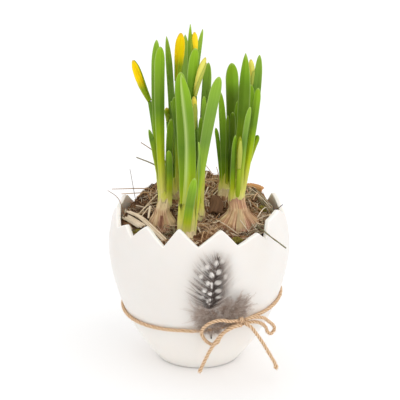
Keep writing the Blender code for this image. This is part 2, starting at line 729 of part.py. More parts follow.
def leaf_solid(name, leaf):
    """A strap leaf, folded along its middle, with a rounded tip."""
    root, middle, tip, width, face, root_ratio, tip_length = leaf
    length = (Vector(middle) - Vector(root)).length + (Vector(tip) - Vector(middle)).length
    tip_start = 1 - tip_length / length
    pointed = 0.5 + 0.01 * max(tip_length - LEAF_BLUNT, 0)
    steps = [s * tip_start / LEAF_STEPS[-1] for s in LEAF_STEPS[:-1]]
    steps += [tip_start + (1 - tip_start) * s for s in LEAF_TIP_STEPS]
    facing = around(face, 1.0, 0.0)
    rings = []
    for t in steps:
        centre = through_three(root, middle, tip, t)
        tangent = through_three(root, middle, tip, t + 0.01) - centre
        side = tangent.cross(facing).normalized()
        front = side.cross(tangent).normalized()
        widen = min(t / (0.85 * tip_start), 1.0)
        half = 0.5 * width * (root_ratio + (1 - root_ratio) * widen * widen * (3 - 2 * widen))
        over = max(t - tip_start, 0) / (1 - tip_start)
        half *= (1 - over**2) ** pointed if over < 1 else 0
        half = max(half, 0.45)
        thick = LEAF_THICK_ROOT + (LEAF_THICK_TIP - LEAF_THICK_ROOT) * t
        fold = LEAF_FOLD * half * 2
        ring = []
        for u, reach in ((-1, LEAF_EDGE), (0, thick), (1, LEAF_EDGE)):
            base = centre + side * (u * half) + front * (fold * (abs(u) - 0.5))
            ring.append((base, reach))
        back = [spot - front * (reach / 2) for spot, reach in ring]
        fore = [spot + front * (reach / 2) for spot, reach in reversed(ring)]
        rings.append(back + fore)
    return make_object(name, *blade_skin(rings), LEAF_GREEN)


def blade_skin(rings):
    """The skin of a blade with three points on each face, both faces cut alike."""
    points = [p for ring in rings for p in ring]
    faces = []
    for i in range(len(rings) - 1):
        low = i * 6
        high = low + 6
        for j in (0, 1):
            faces += [(low + j, low + j + 1, high + j + 1), (low + j, high + j + 1, high + j)]
            a = 5 - j
            b = a - 1
            faces += [(low + a, high + b, low + b), (low + a, high + a, high + b)]
        for a, b in ((2, 3), (5, 0)):
            faces += [(low + a, low + b, high + b), (low + a, high + b, high + a)]
    last = (len(rings) - 1) * 6
    for start in (0, last):
        faces += [(start, start + 1, start + 4, start + 5), (start + 1, start + 2, start + 3, start + 4)]
    return points, faces


def stalk_solid(name, stalk):
    path = [through_three(*stalk, k / 6) for k in range(7)]
    radii = [STALK_RADIUS * (1.15 - 0.25 * k / 6) for k in range(7)]
    return make_object(name, *tube(path, radii, 6, 0.85), LEAF_GREEN)


def make_shoots():
    for shoot, leaves in LEAVES.items():
        target = sheath_solid(shoot, shoot)
        blades = [leaf_solid(f"{shoot}_leaf_{k}", leaf) for k, leaf in enumerate(leaves)]
        stalks = [
            stalk_solid(bud + "_stalk", stalk)
            for bud, (owner, stalk, _, _) in BUDS.items()
            if owner == shoot
        ]
        join_by_union(shoot, target, blades + stalks)
        finish_material(target, LEAF_GREEN)
        target.data.shade_flat()


def make_buds():
    """Each bud is three wrapped petals: a slim spindle with three low lobes."""
    profile = ((0.0, 0.5), (0.1, 0.62), (0.28, 0.78), (0.48, 0.94), (0.68, 1.0), (0.85, 0.86))
    profile += ((0.96, 0.5),)
    sides = 9
    for name, (_, stalk, (middle, tip), radius) in BUDS.items():
        top = Vector(stalk[2])
        start = top + (Vector(middle) - top).normalized() * BUD_CLEARANCE
        path = [through_three(start, middle, tip, t) for t, _ in profile]
        rings = []
        for (t, scale), centre, (_, side, up) in zip(profile, path, frames_along(path)):
            ring = []
            for k in range(sides):
                angle = math.tau * k / sides
                reach = radius * scale * (1 + 0.07 * math.cos(3 * angle + 1.6 * t))
                ring.append(centre + side * (reach * math.cos(angle)) + up * (reach * math.sin(angle)))
            rings.append(ring)
        make_object(name, *loft(rings), PETAL_YELLOW)


def bulb_rings(centre, radius, neck_top, neck_radius, grow=0.0):
    x, y, z = centre
    rise = neck_top - z
    profile = (
        (-0.95 * radius, 0.34 * radius),
        (-0.72 * radius, 0.72 * radius),
        (-0.3 * radius, 0.96 * radius),
        (0.1 * rise, radius),
        (0.45 * rise, 0.86 * radius),
        (0.76 * rise, 0.3 * radius + 0.6 * neck_radius),
        (rise, neck_radius),
    )
    sides = 10
    rings = []
    for k, (height, reach) in enumerate(profile):
        end = -grow if k == 0 else grow if k == len(profile) - 1 else 0.0
        ring = []
        for n in range(sides):
            angle = math.tau * n / sides
            rib = 1 + 0.02 * math.cos(5 * angle + height * 0.2)
            ring.append(
                Vector(
                    (
                        x + (reach * rib + grow) * math.cos(angle),
                        y + (reach * rib + grow) * math.sin(angle),
                        z + height + end,
                    )
                )
            )
        rings.append(ring)
    return rings


def make_bulbs():
    for name, bulb in BULBS.items():
        obj = make_object(name, *loft(bulb_rings(*bulb)), BULB_SKIN)
        obj.data.shade_smooth()


def strip_solid(name, strip, grow=0.0, look=STRAW):
    """A flat strip of reed or bark, level across its width or rolled over."""
    points, width, thickness, roll = strip
    lean = math.radians(roll)
    steps = 6
    last = len(points) - 1
    path = [smooth_curve(points, last * k / steps) for k in range(steps + 1)]
    if grow:
        path[0] = path[0] + (path[0] - path[1]).normalized() * grow
        path[-1] = path[-1] + (path[-1] - path[-2]).normalized() * grow
    rings = []
    for k, (centre, (tangent, _, _)) in enumerate(zip(path, frames_along(path))):
        level = tangent.cross(Vector((0, 0, 1))).normalized()
        upright = level.cross(tangent)
        side = level * math.cos(lean) - upright * math.sin(lean)
        up = side.cross(tangent)
        ends = 0.72 if k in (0, steps) else 1.0
        half = width / 2 * ends + grow
        deep = thickness / 2 + grow
        arch = 0.12 * width
        ring = [
            centre - side * half - up * (deep + arch),
            centre - up * deep,
            centre + side * half - up * (deep + arch),
            centre + side * half + up * (deep - arch),
            centre + up * deep,
            centre - side * half + up * (deep - arch),
        ]
        rings.append(ring)
    return make_object(name, *blade_skin(rings), look)


def moss_solid(name, centre, radius, height, grow=0.0):
    """A low cushion of moss with a lumpy crown."""
    centre = Vector(centre)
    rings = []
    for level, reach in ((-0.9, 0.6), (-0.3, 0.92), (0.25, 1.0), (0.7, 0.72), (1.0, 0.3)):
        ring = []
        for k in range(12):
            lump = 1 + 0.13 * math.sin(k * 2.4 + level * 3) * (1 if level > 0 else 0)
            ring.append(centre + around(30 * k, radius * reach * lump + grow, height * level))
        rings.append(ring)
    for point in rings[0]:
        point.z -= grow
    for point in rings[-1]:
        point.z += grow
    return make_object(name, *loft(rings), MOSS_GREEN)


def make_mulch():
    """The mulch and soil in one body, with a hollow for every piece that sits in it."""
    mulch = make_soil_body()
    standing = [
        straw_solid(f"standing_{k}", points, STANDING_STRAW_RADIUS, 4, len(points))
        for k, points in enumerate(STANDING_STRAWS)
    ]
    join_by_union("mulch", mulch, standing + scattered_straws())
    cutters = []
    for name, bulb in BULBS.items():
        cutters.append(make_object(name + "_hollow", *loft(bulb_rings(*bulb, grow=GAP))))
    for shoot in SHEATHS:
        cutters.append(sheath_solid(shoot + "_hollow", shoot, 1.6, SHEATH_SINK, 30.0))
    for name, strip in REEDS.items():
        cutters.append(strip_solid(name + "_hollow", strip, GAP))
    for name, (centre, radius, height) in MOSS.items():
        cutters.append(moss_solid(name + "_hollow", centre, radius, height, GAP))
    cutters.append(overhanging_stalk("stalk_hollow", GAP))
    cut_away(mulch, cutters)
    keep_largest_body(mulch)
    finish_material(mulch, SOIL)


def overhanging_stalk(name, grow=0.0):
    """A limp dry stalk that lies over a notch of the rim."""
    path = [smooth_curve(OVERHANGING_STALK, k / 2) for k in range(2 * len(OVERHANGING_STALK) - 1)]
    if grow:
        path[0] = path[0] + (path[0] - path[1]).normalized() * grow
    radii = [OVERHANGING_STALK_RADIUS + grow] * len(path)
    return make_object(name, *tube(path, radii, 6), GREEN_STRAW)


def make_loose_mulch():
    for name, strip in REEDS.items():
        strip_solid(name, strip, look=BARK if name.startswith("bark") else STRAW)
    for name, (centre, radius, height) in MOSS.items():
        moss_solid(name, centre, radius, height)
    overhanging_stalk("dry_stalk")


def band_point(azimuth):
    """The twine band's centre line, pulled up by the knot and out by the quill."""

    def bulge(middle):
        away = min(abs(azimuth - middle) / BAND_REACH, 1.0)
        return 0.5 * (1 + math.cos(math.pi * away))

    height = BAND_HEIGHT + BAND_TILT * math.sin(math.radians(azimuth - BAND_TILT_FROM))
    height += BAND_PULL * bulge(KNOT_AZIMUTH)
    lift = BAND_LIFT * bulge(BAND_LIFT_MIDDLE)
    return on_pot(azimuth, height, TWINE_RADIUS * 1.08 + GAP + lift)


def make_twine_band():
    rings = []
    sides = 6
    count = BAND_POINTS
    path = [band_point(-180 + 360 * k / count) for k in range(count)]
    for k in range(count):
        tangent = (path[(k + 1) % count] - path[k - 1]).normalized()
        outward = Vector((path[k].x, path[k].y, 0)).normalized()
        up = tangent.cross(outward).normalized()
        outward = up.cross(tangent)
        ring = []
        for n in range(sides):
            angle = math.tau * n / sides
            ring.append(path[k] + (outward * math.cos(angle) + up * math.sin(angle)) * TWINE_RADIUS)
        rings.append(ring)
    points, faces = loft(rings, close=False)
    start = (count - 1) * sides
    for n in range(sides):
        a = start + n
        b = start + (n + 1) % sides
        faces.append((a, b, (n + 1) % sides, n))
    make_object("twine_band", points, faces, JUTE)


def make_knot():
    """The tie: two short turns of twine over the crossing, fused in one lump."""
    centre = on_pot(KNOT_AZIMUTH, KNOT_HEIGHT, KNOT_OFF)
    outward = around(KNOT_AZIMUTH, 1.0, 0.0)
    across = around(KNOT_AZIMUTH + 90, 1.0, 0.0)
    turns = []
    for k, lean in enumerate((0.5, -0.45)):
        path = []
        for n in range(9):
            angle = math.tau * n / 10 - 0.2
            shift = across * (TURN_PITCH * (k - 0.5) + 0.9 * math.sin(angle) * lean)
            up = Vector((0, 0, TURN_RISE * math.sin(angle)))
            path.append(centre + shift + up + outward * (TURN_DEPTH * math.cos(angle)))
        turns.append(make_object(f"turn_{k}", *tube(path, [TURN_RADIUS] * 9, 6), JUTE))
    core_path = [centre + across * s for s in (-2.6, -1.3, 0.0, 1.3, 2.6)]
    knot = make_object("twine_knot", *tube(core_path, [1.3, 1.9, 2.1, 1.9, 1.3], 8), JUTE)
    join_by_union("twine_knot", knot, turns)
    finish_material(knot, JUTE)


def make_free_twine(name, points):
    """A curve object on a smooth curve through the points."""
    points = [Vector(point) for point in points]
    last = len(points) - 1
    length = sum((points[k + 1] - points[k]).length for k in range(last))
    count = max(int(length / TAIL_STEP), 6)
    path = [smooth_curve(points, last * k / count) for k in range(count + 1)]
    curve = bpy.data.curves.new(name, "CURVE")
    curve.dimensions = "3D"
    curve.bevel_depth = TWINE_RADIUS * MM
    curve.bevel_resolution = 2
    curve.use_fill_caps = True
    spline = curve.splines.new("POLY")
    spline.points.add(len(path) - 1)
    for point, spot in zip(spline.points, path):
        point.co = (*(spot * MM), 1.0)
    obj = bpy.data.objects.new(name, curve)
    bpy.context.scene.collection.objects.link(obj)
    finish_material(obj, JUTE)


def make_twine():
    make_twine_band()
    make_knot()
    make_free_twine("bow_loop_left", [on_pot(*stop) for stop in LOOP_LEFT])
    make_free_twine("bow_loop_right", [on_pot(*stop) for stop in LOOP_RIGHT])
    make_free_twine("bow_tail_left", TAIL_LEFT)
    make_free_twine("bow_tail_right", TAIL_RIGHT)


def wisp_solid(name, start, end, thick_start, thick_end, outward, bow):
    """A slim tapering barb that bends away from the pot."""
    rings = []
    axis = (end - start).normalized()
    side = axis.cross(outward).normalized()
    front = side.cross(axis).normalized()
    for t in (0.0, 1.0):
        centre = start.lerp(end, t) + front * (bow * t * t)
        half = 0.5 * (thick_start + (thick_end - thick_start) * t)
        deep = BARB_THICKNESS * 0.5 * (1 - 0.15 * t)
        rings.append(
            [
                centre - side * half - front * deep,
                centre + side * half - front * deep,
                centre + side * half + front * deep,
                centre - side * half + front * deep,
            ]
        )
    return make_object(name, *loft(rings), FEATHER_GREY)


def make_feather():
    last = len(SHAFT) - 1
    steps = 12
    places = [smooth_curve(SHAFT, last * k / steps) for k in range(steps + 1)]
    path = [on_pot(*place) for place in places]
    radii = [SHAFT_RADIUS * (1 - 0.45 * k / steps) for k in range(steps + 1)]
    shaft = make_object("feather_spotted", *tube(path, radii, 6), FEATHER_GREY)
    barbs = []
    first, final = (on_pot(*smooth_curve(SHAFT, last * t)) for t in (BARB_FIRST, BARB_LAST))
    spacing = (final - first).length / (BARB_ROWS - 1)
    for row in range(BARB_ROWS):
        f = row / (BARB_ROWS - 1)
        t = BARB_FIRST + (BARB_LAST - BARB_FIRST) * f
        root = on_pot(*smooth_curve(SHAFT, last * t))
        ahead = on_pot(*smooth_curve(SHAFT, last * min(t + 0.02, 1.0)))
        outward = Vector((root.x, root.y, 0)).normalized()
        up = (ahead - root).normalized()
        across = up.cross(outward).normalized()
        for hand, (long, short, wide, narrow) in ((1, BARB_LEFT), (-1, BARB_RIGHT)):
            angle = math.radians(wide + (narrow - wide) * f)
            swell = math.sin(math.pi * min(0.3 + 0.7 * f, 1.0)) ** 0.5 if f < 1 else 0.3
            length = short + (long - short) * swell
            way = up * math.cos(angle) - across * (hand * math.sin(angle))
            end = root + way * length
            end += outward * (pot_radius(end.z) + BARB_OFF - math.hypot(end.x, end.y))
            full = BARB_FILL * spacing * math.sin(angle)
            barbs.append(wisp_solid(f"barb_{row}_{hand}", root, end, full, 0.75 * full, outward, 0.4))
    join_by_union("feather_spotted", shaft, barbs)
    finish_material(shaft, FEATHER_GREY)


def make_down():
    """The tuft at the feather's foot: a flat core that loose wisps stand out of."""
    azimuth, height = DOWN_CENTRE
    half_azimuth, half_height = DOWN_HALF
    rings = []
    for level, reach in ((-1.0, 0.3), (-1.0, 1.0), (1.0, 1.0), (1.0, 0.3)):
        ring = []
        for k in range(14):
            angle = math.tau * k / 14
            ragged = reach * (1 + 0.12 * math.sin(5 * angle))
            spot = on_pot(
                azimuth + half_azimuth * ragged * math.cos(angle),
                height + half_height * ragged * math.sin(angle),
                DOWN_OFF + DOWN_THICKNESS / 2 * level,
            )
            ring.append(spot)
        rings.append(ring)
    core = make_object("feather_down", *loft(rings), DOWN_GREY)
    draw = random.Random(DOWN_SEED)
    wisps = []
    for k in range(DOWN_WISPS):
        angle = math.tau * (k + draw.uniform(-0.3, 0.3)) / DOWN_WISPS
        reach = draw.uniform(0.75, 1.25)
        down = max(-math.sin(angle), 0.0)
        start = on_pot(
            azimuth + 0.72 * half_azimuth * math.cos(angle),
            height + 0.72 * half_height * math.sin(angle),
            DOWN_OFF + down,
        )
        end_azimuth = azimuth + (half_azimuth + 8 * reach) * math.cos(angle)
        end_height = height + (half_height + 11 * reach) * math.sin(angle)
        if end_height < KNOT_HEIGHT + 7 and end_azimuth > KNOT_AZIMUTH - 11:
            continue
        end = on_pot(end_azimuth, end_height, DOWN_OFF + 2.1 * down + draw.uniform(0.0, 0.8))
        outward = Vector((start.x, start.y, 0)).normalized()
        wisps.append(wisp_solid(f"wisp_{k}", start, end, 1.3, 0.6, outward, 0.5))
    for k in range(DOWN_FACE_WISPS):
        angle = draw.uniform(0, math.tau)
        inner = draw.uniform(0.1, 0.6)
        outer = inner + draw.uniform(0.35, 0.6)
        spots = []
        for reach, off in ((inner, DOWN_OFF + 0.6), (outer, DOWN_OFF + draw.uniform(2.0, 3.2))):
            spots.append(
                on_pot(
                    azimuth + half_azimuth * reach * math.cos(angle),
                    height + half_height * reach * math.sin(angle),
                    off,
                )
            )
        outward = Vector((spots[0].x, spots[0].y, 0)).normalized()
        wisps.append(wisp_solid(f"face_wisp_{k}", *spots, 1.4, 0.7, outward, 0.5))
    join_by_union("feather_down", core, wisps)
    finish_material(core, DOWN_GREY)


clear_scene()
make_pot()
make_mulch()
make_bulbs()
make_shoots()
make_buds()
make_loose_mulch()
make_twine()
make_feather()
make_down()
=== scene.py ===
"""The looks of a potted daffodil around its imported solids.

Dwarf daffodils in bud stand on their bulbs in a mulch of straw, in a white
ceramic pot shaped like a broken eggshell, tied with jute twine and a feather.

Pieces are made in millimetres and make_piece turns them into metres. An azimuth
is in degrees round the pot from the front, towards +X.
"""

import math
import random

import bmesh
import bpy
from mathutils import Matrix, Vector, noise


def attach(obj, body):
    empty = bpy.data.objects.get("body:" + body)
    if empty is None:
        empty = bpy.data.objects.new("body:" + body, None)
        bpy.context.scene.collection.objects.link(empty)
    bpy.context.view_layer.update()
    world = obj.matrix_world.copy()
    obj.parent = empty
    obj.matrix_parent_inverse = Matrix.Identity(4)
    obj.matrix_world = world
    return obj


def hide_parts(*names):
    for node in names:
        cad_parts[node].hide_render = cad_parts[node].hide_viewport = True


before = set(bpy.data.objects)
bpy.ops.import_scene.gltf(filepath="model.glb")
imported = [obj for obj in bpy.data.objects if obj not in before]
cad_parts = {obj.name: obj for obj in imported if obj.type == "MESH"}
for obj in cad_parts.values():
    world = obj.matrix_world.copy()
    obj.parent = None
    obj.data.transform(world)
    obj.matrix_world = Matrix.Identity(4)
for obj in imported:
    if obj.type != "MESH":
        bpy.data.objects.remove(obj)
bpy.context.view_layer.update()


# The view. The camera stands in front of the table, a little above the rim, and
# looks along +Y at the middle of the plant with a long lens, as the photo does.
MM = 0.001
AIM = Vector((0.7, 0.0, 119.1)) * MM
VIEW_DISTANCE = 1.1
VIEW_RISE = math.radians(17.3)
LONG_LENS = 137.1

view = bpy.data.objects.new("view", bpy.data.cameras.new("view"))
view.data.lens = LONG_LENS
view.data.sensor_width = 36.0
view.location = AIM + Vector((0, -math.cos(VIEW_RISE), math.sin(VIEW_RISE))) * VIEW_DISTANCE
view.rotation_euler = (math.pi / 2 - VIEW_RISE, 0, 0)
bpy.context.scene.collection.objects.link(view)
bpy.context.scene.camera = view


# The bow's two loops and two ends. They are free lengths of soft jute garden
# twine, three loosely twisted strands with fibres standing out of them, drawn
# out of the knot at the pot's front. The loops go back into the knot.

# The pot's outline, which they follow: height and outer radius from the foot up.
POT_PROFILE = (
    (0.0, 29.2),
    (8.0, 35.8),
    (20.0, 44.2),
    (36.0, 53.2),
    (55.0, 60.2),
    (75.0, 64.8),
    (92.0, 65.6),
    (116.0, 60.5),
    (125.0, 56.5),
)


def pot_radius(height):
    """The pot's outer radius, on a smooth curve through the profile's knots."""
    z = min(max(height, POT_PROFILE[0][0]), POT_PROFILE[-1][0])
    i = 0
    while i < len(POT_PROFILE) - 2 and z > POT_PROFILE[i + 1][0]:
        i += 1

    def slope(k):
        low = POT_PROFILE[max(k - 1, 0)]
        high = POT_PROFILE[min(k + 1, len(POT_PROFILE) - 1)]
        return (high[1] - low[1]) / (high[0] - low[0])

    (z0, r0), (z1, r1) = POT_PROFILE[i], POT_PROFILE[i + 1]
    span = z1 - z0
    f = (z - z0) / span
    return (
        r0 * (2 * f**3 - 3 * f**2 + 1)
        + slope(i) * span * (f**3 - 2 * f**2 + f)
        + r1 * (-2 * f**3 + 3 * f**2)
        + slope(i + 1) * span * (f**3 - f**2)
    )


def around(azimuth, radius, height):
    """A point at an azimuth, a distance from the pot's axis and a height."""
    angle = math.radians(azimuth)
    return Vector((radius * math.sin(angle), -radius * math.cos(angle), height))


def on_pot(azimuth, height, off):
    """A point that stands off the pot's outer face by off."""
    return around(azimuth, pot_radius(height) + off, height)


def smooth_curve(points, t):
    """The point at t, from 0 to the last index, on a smooth curve through points."""
    last = len(points) - 1
    i = min(int(t), last - 1)
    f = t - i
    here = Vector(points[i])
    there = Vector(points[i + 1])
    before = Vector(points[i - 1]) if i > 0 else here * 2 - there
    after = Vector(points[i + 2]) if i + 2 <= last else there * 2 - here
    leave = (there - before) * 0.5
    arrive = (after - here) * 0.5
    return (
        here * (2 * f**3 - 3 * f**2 + 1)
        + leave * (f**3 - 2 * f**2 + f)
        + there * (-2 * f**3 + 3 * f**2)
        + arrive * (f**3 - f**2)
    )


def even_path(points, step):
    """The smooth curve through points, cut into even steps of about step."""
    last = len(points) - 1
    fine = [smooth_curve(points, k / 16) for k in range(16 * last + 1)]
    run = [0.0]
    for a, b in zip(fine, fine[1:]):
        run.append(run[-1] + (b - a).length)
    count = max(round(run[-1] / step), 2)
    path = []
    i = 0
    for k in range(count + 1):
        goal = run[-1] * k / count
        while i < len(run) - 2 and run[i + 1] < goal:
            i += 1
        span = run[i + 1] - run[i]
        path.append(fine[i].lerp(fine[i + 1], (goal - run[i]) / span if span else 0.0))
    return path


def frames_along(path):
    """A tangent, side and up direction at each point of a path."""
    frames = []
    side = None
    for i in range(len(path)):
        tangent = (path[min(i + 1, len(path) - 1)] - path[max(i - 1, 0)]).normalized()
        if side is None:
            helper = Vector((0, 0, 1)) if abs(tangent.z) < 0.9 else Vector((0, 1, 0))
            side = tangent.cross(helper)
        side = (side - tangent * side.dot(tangent)).normalized()
        frames.append((tangent, side, tangent.cross(side)))
    return frames


class Making:
    """One piece on the bench: its points and faces, and the marks that its finish reads.

    grain runs along the piece's own fibres, tint picks its colour, edge and rib
    pick out borders and lines, and tone turns the colour rusty, pink, downy, pale
    or shaded, as the finish says. On twine, glaze and petals edge is painted light,
    a painted highlight or painted shade; on leaves rib also paints highlights along
    the edges, and tint a painted glow towards the tips.
    """

    def __init__(self):
        self.points = []
        self.faces = []
        self.grain = []
        self.marks = {"tint": [], "edge": [], "tone": [], "rib": []}

    def loft(self, rings, grain=None, closed=False, **marks):
        """A skin over rings of equal length. It closes on itself or is capped."""
        first = len(self.points)
        n = len(rings[0])
        count = len(rings) * n
        for ring in rings:
            self.points.extend(ring)
        self.grain.extend(grain or [(0.0, 0.0, 0.0)] * count)
        for mark, values in self.marks.items():
            given = marks.get(mark, 0.0)
            values.extend(given if isinstance(given, list) else [given] * count)
        for i in range(len(rings) - (0 if closed else 1)):
            a = first + i * n
            b = first + (i + 1) % len(rings) * n
            for j in range(n):
                k = (j + 1) % n
                self.faces.append((a + j, a + k, b + k, b + j))
        if not closed:
            self.faces.append(tuple(range(first + n - 1, first - 1, -1)))
            self.faces.append(tuple(range(first + count - n, first + count)))

    def tube(self, path, radii, sides, flat=1.0, start=0.0, **marks):
        """A round or flattened rod along a path."""
        rings, grain = [], []
        along = start
        for k, (centre, radius, (_, side, up)) in enumerate(zip(path, radii, frames_along(path))):
            along += (centre - path[k - 1]).length if k else 0.0
            ring = []
            for n in range(sides):
                angle = math.tau * n / sides
                wide, tall = radius * math.cos(angle), radius * math.sin(angle)
                ring.append(centre + side * wide + up * (tall * flat))
                grain.append((wide + start, tall, along))
            rings.append(ring)
        self.loft(rings, grain, **marks)


def make_piece(name, making, finish, slot, *nodes, crease=None):
    """The finished piece in metres, on the part's one body, in place of its solids."""
    mesh = bpy.data.meshes.new(name)
    mesh.from_pydata([point * MM for point in making.points], [], making.faces)
    work = bmesh.new()
    work.from_mesh(mesh)
    bmesh.ops.recalc_face_normals(work, faces=work.faces)
    work.to_mesh(mesh)
    work.free()
    grain = mesh.attributes.new("grain", "FLOAT_VECTOR", "POINT")
    grain.data.foreach_set("vector", [c for point in making.grain for c in point])
    for mark, values in making.marks.items():
        mesh.attributes.new(mark, "FLOAT", "POINT").data.foreach_set("value", values)
    mesh.shade_smooth()
    if crease is not None:
        mesh.set_sharp_from_angle(angle=math.radians(crease))
    mesh.materials.append(finish)
    piece = bpy.data.objects.new(name, mesh)
    bpy.context.scene.collection.objects.link(piece)
    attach(piece, "root")
    if nodes:
        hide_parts(*nodes)
    return piece


def rgb(red, green, blue):
    """A paint colour from 0 to 255 a channel, as the shader's linear colour."""
    return tuple(((c / 255 + 0.055) / 1.055) ** 2.4 for c in (red, green, blue)) + (1.0,)


def node(tree, kind, sockets=None, **settings):
    """A shader node whose sockets take plain values or what another node puts out."""
    made = tree.nodes.new("ShaderNode" + kind)
    for name, value in settings.items():
        setattr(made, name, value)
    for key, value in (sockets or {}).items():
        if isinstance(value, bpy.types.Node):
            value = value.outputs[0]
        if isinstance(value, bpy.types.NodeSocket):
            tree.links.new(value, made.inputs[key])
        else:
            made.inputs[key].default_value = value
    return made


def math_of(tree, operation, first, second=0.0, third=0.0):
    """A number worked out from up to three others."""
    sockets = {0: first, 1: second, 2: third}
    return node(tree, "Math", sockets, operation=operation).outputs[0]


def blend(tree, share, one, other):
    """One colour mixed with a share of another."""
    return node(tree, "Mix", {0: share, 6: one, 7: other}, data_type="RGBA").outputs[2]


def colour_run(tree, place, stops):
    """A colour that runs through stops of place and colour."""
    ramp = node(tree, "ValToRGB", {0: place})
    ends = ramp.color_ramp.elements
    while len(ends) < len(stops):
        ends.new(0.5)
    for end, (position, colour) in zip(ends, stops):
        end.position = position
        end.color = colour
    return ramp.outputs[0]


def mark_of(tree, mark):
    """A mark of the piece: a vector for grain, and a number for the others."""
    read = node(tree, "Attribute", attribute_name=mark)
    return read.outputs["Vector" if mark == "grain" else "Fac"]


def new_group(name, inputs, outputs):
    """An empty shader group with its named sockets, as (tree, inputs, outputs)."""
    tree = bpy.data.node_groups.new(name, "ShaderNodeTree")
    for socket, kind, value in inputs:
        made = tree.interface.new_socket(socket, in_out="INPUT", socket_type="NodeSocket" + kind)
        if value is not None:
            made.default_value = value
    for socket in outputs:
        tree.interface.new_socket(socket, in_out="OUTPUT", socket_type="NodeSocketFloat")
    return tree, tree.nodes.new("NodeGroupInput").outputs, tree.nodes.new("NodeGroupOutput").inputs


def place_group(tree, group, **values):
    """A shader group in a finish, with that finish's own values."""
    made = tree.nodes.new("ShaderNodeGroup")
    made.node_tree = group
    for name, value in values.items():
        if isinstance(value, bpy.types.NodeSocket):
            tree.links.new(value, made.inputs[name])
        else:
            made.inputs[name].default_value = value
    return made.outputs


def new_finish(name, roughness, **flat):
    """A finish with its flat values on the shader, as (finish, tree, shader)."""
    finish = bpy.data.materials.new(name)
    finish.use_nodes = True
    shader = finish.node_tree.nodes["Principled BSDF"]
    shader.inputs["Roughness"].default_value = roughness
    for socket, value in flat.items():
        shader.inputs[socket.replace("_", " ")].default_value = value
    return finish, finish.node_tree, shader


def raise_surface(tree, shader, height, strength, depth):
    """Fine relief of the surface; depth is in millimetres."""
    sockets = {"Height": height, "Strength": strength, "Distance": depth * MM}
    tree.links.new(node(tree, "Bump", sockets).outputs[0], shader.inputs["Normal"])


# Streaks along the fibres of twine, straw, leaf, petal, bulb skin and barb.
fibre_streaks, given, put_out = new_group(
    "Fibre streaks",
    (("Grain", "Vector", None), ("Fine", "Float", 3.0), ("Long", "Float", 0.1)),
    ("Streak", "Height"),
)
stretch = node(fibre_streaks, "CombineXYZ", {0: given["Fine"], 1: given["Fine"], 2: given["Long"]})
drawn_out = node(fibre_streaks, "VectorMath", {0: given["Grain"], 1: stretch}, operation="MULTIPLY")
streak = node(fibre_streaks, "TexNoise", {"Vector": drawn_out, "Scale": 1.0, "Detail": 3.0})
spread = node(fibre_streaks, "MapRange", {0: streak, 1: 0.32, 2: 0.68})
fibre_streaks.links.new(spread.outputs[0], put_out["Streak"])
fibre_streaks.links.new(streak.outputs[0], put_out["Height"])

jute, tree, shader = new_finish("natural jute", 0.95, Specular_IOR_Level=0.1)
streaks = place_group(tree, fibre_streaks, Grain=mark_of(tree, "grain"), Fine=2.6, Long=0.35)
# Painted shade darkens the grooves between the strands and a painted highlight lightens their crowns,
# following the edge mark.
colour = colour_run(
    tree,
    mark_of(tree, "edge"),
    ((0.0, rgb(120, 82, 54)), (0.5, rgb(206, 168, 130)), (1.0, rgb(246, 218, 184))),
)
colour = blend(tree, math_of(tree, "MULTIPLY", streaks["Streak"], 0.4), colour, rgb(178, 134, 96))
colour = blend(tree, mark_of(tree, "tint"), colour, rgb(246, 226, 200))
tree.links.new(colour, shader.inputs["Base Color"])
raise_surface(tree, shader, streaks["Height"], 0.6, 0.25)

TWINE_RADIUS = 1.1
TWINE_SIDES = 18
STRANDS = 3
STRAND_PITCH = 8.4
STRAND_DIP = 0.74
STRAND_RISE = 0.42
WANDER = 1.2
LOOSE_FIBRES_PER_MM = 4.2
FRAY_LENGTH = 4.5
FRAY_FIBRES = 46


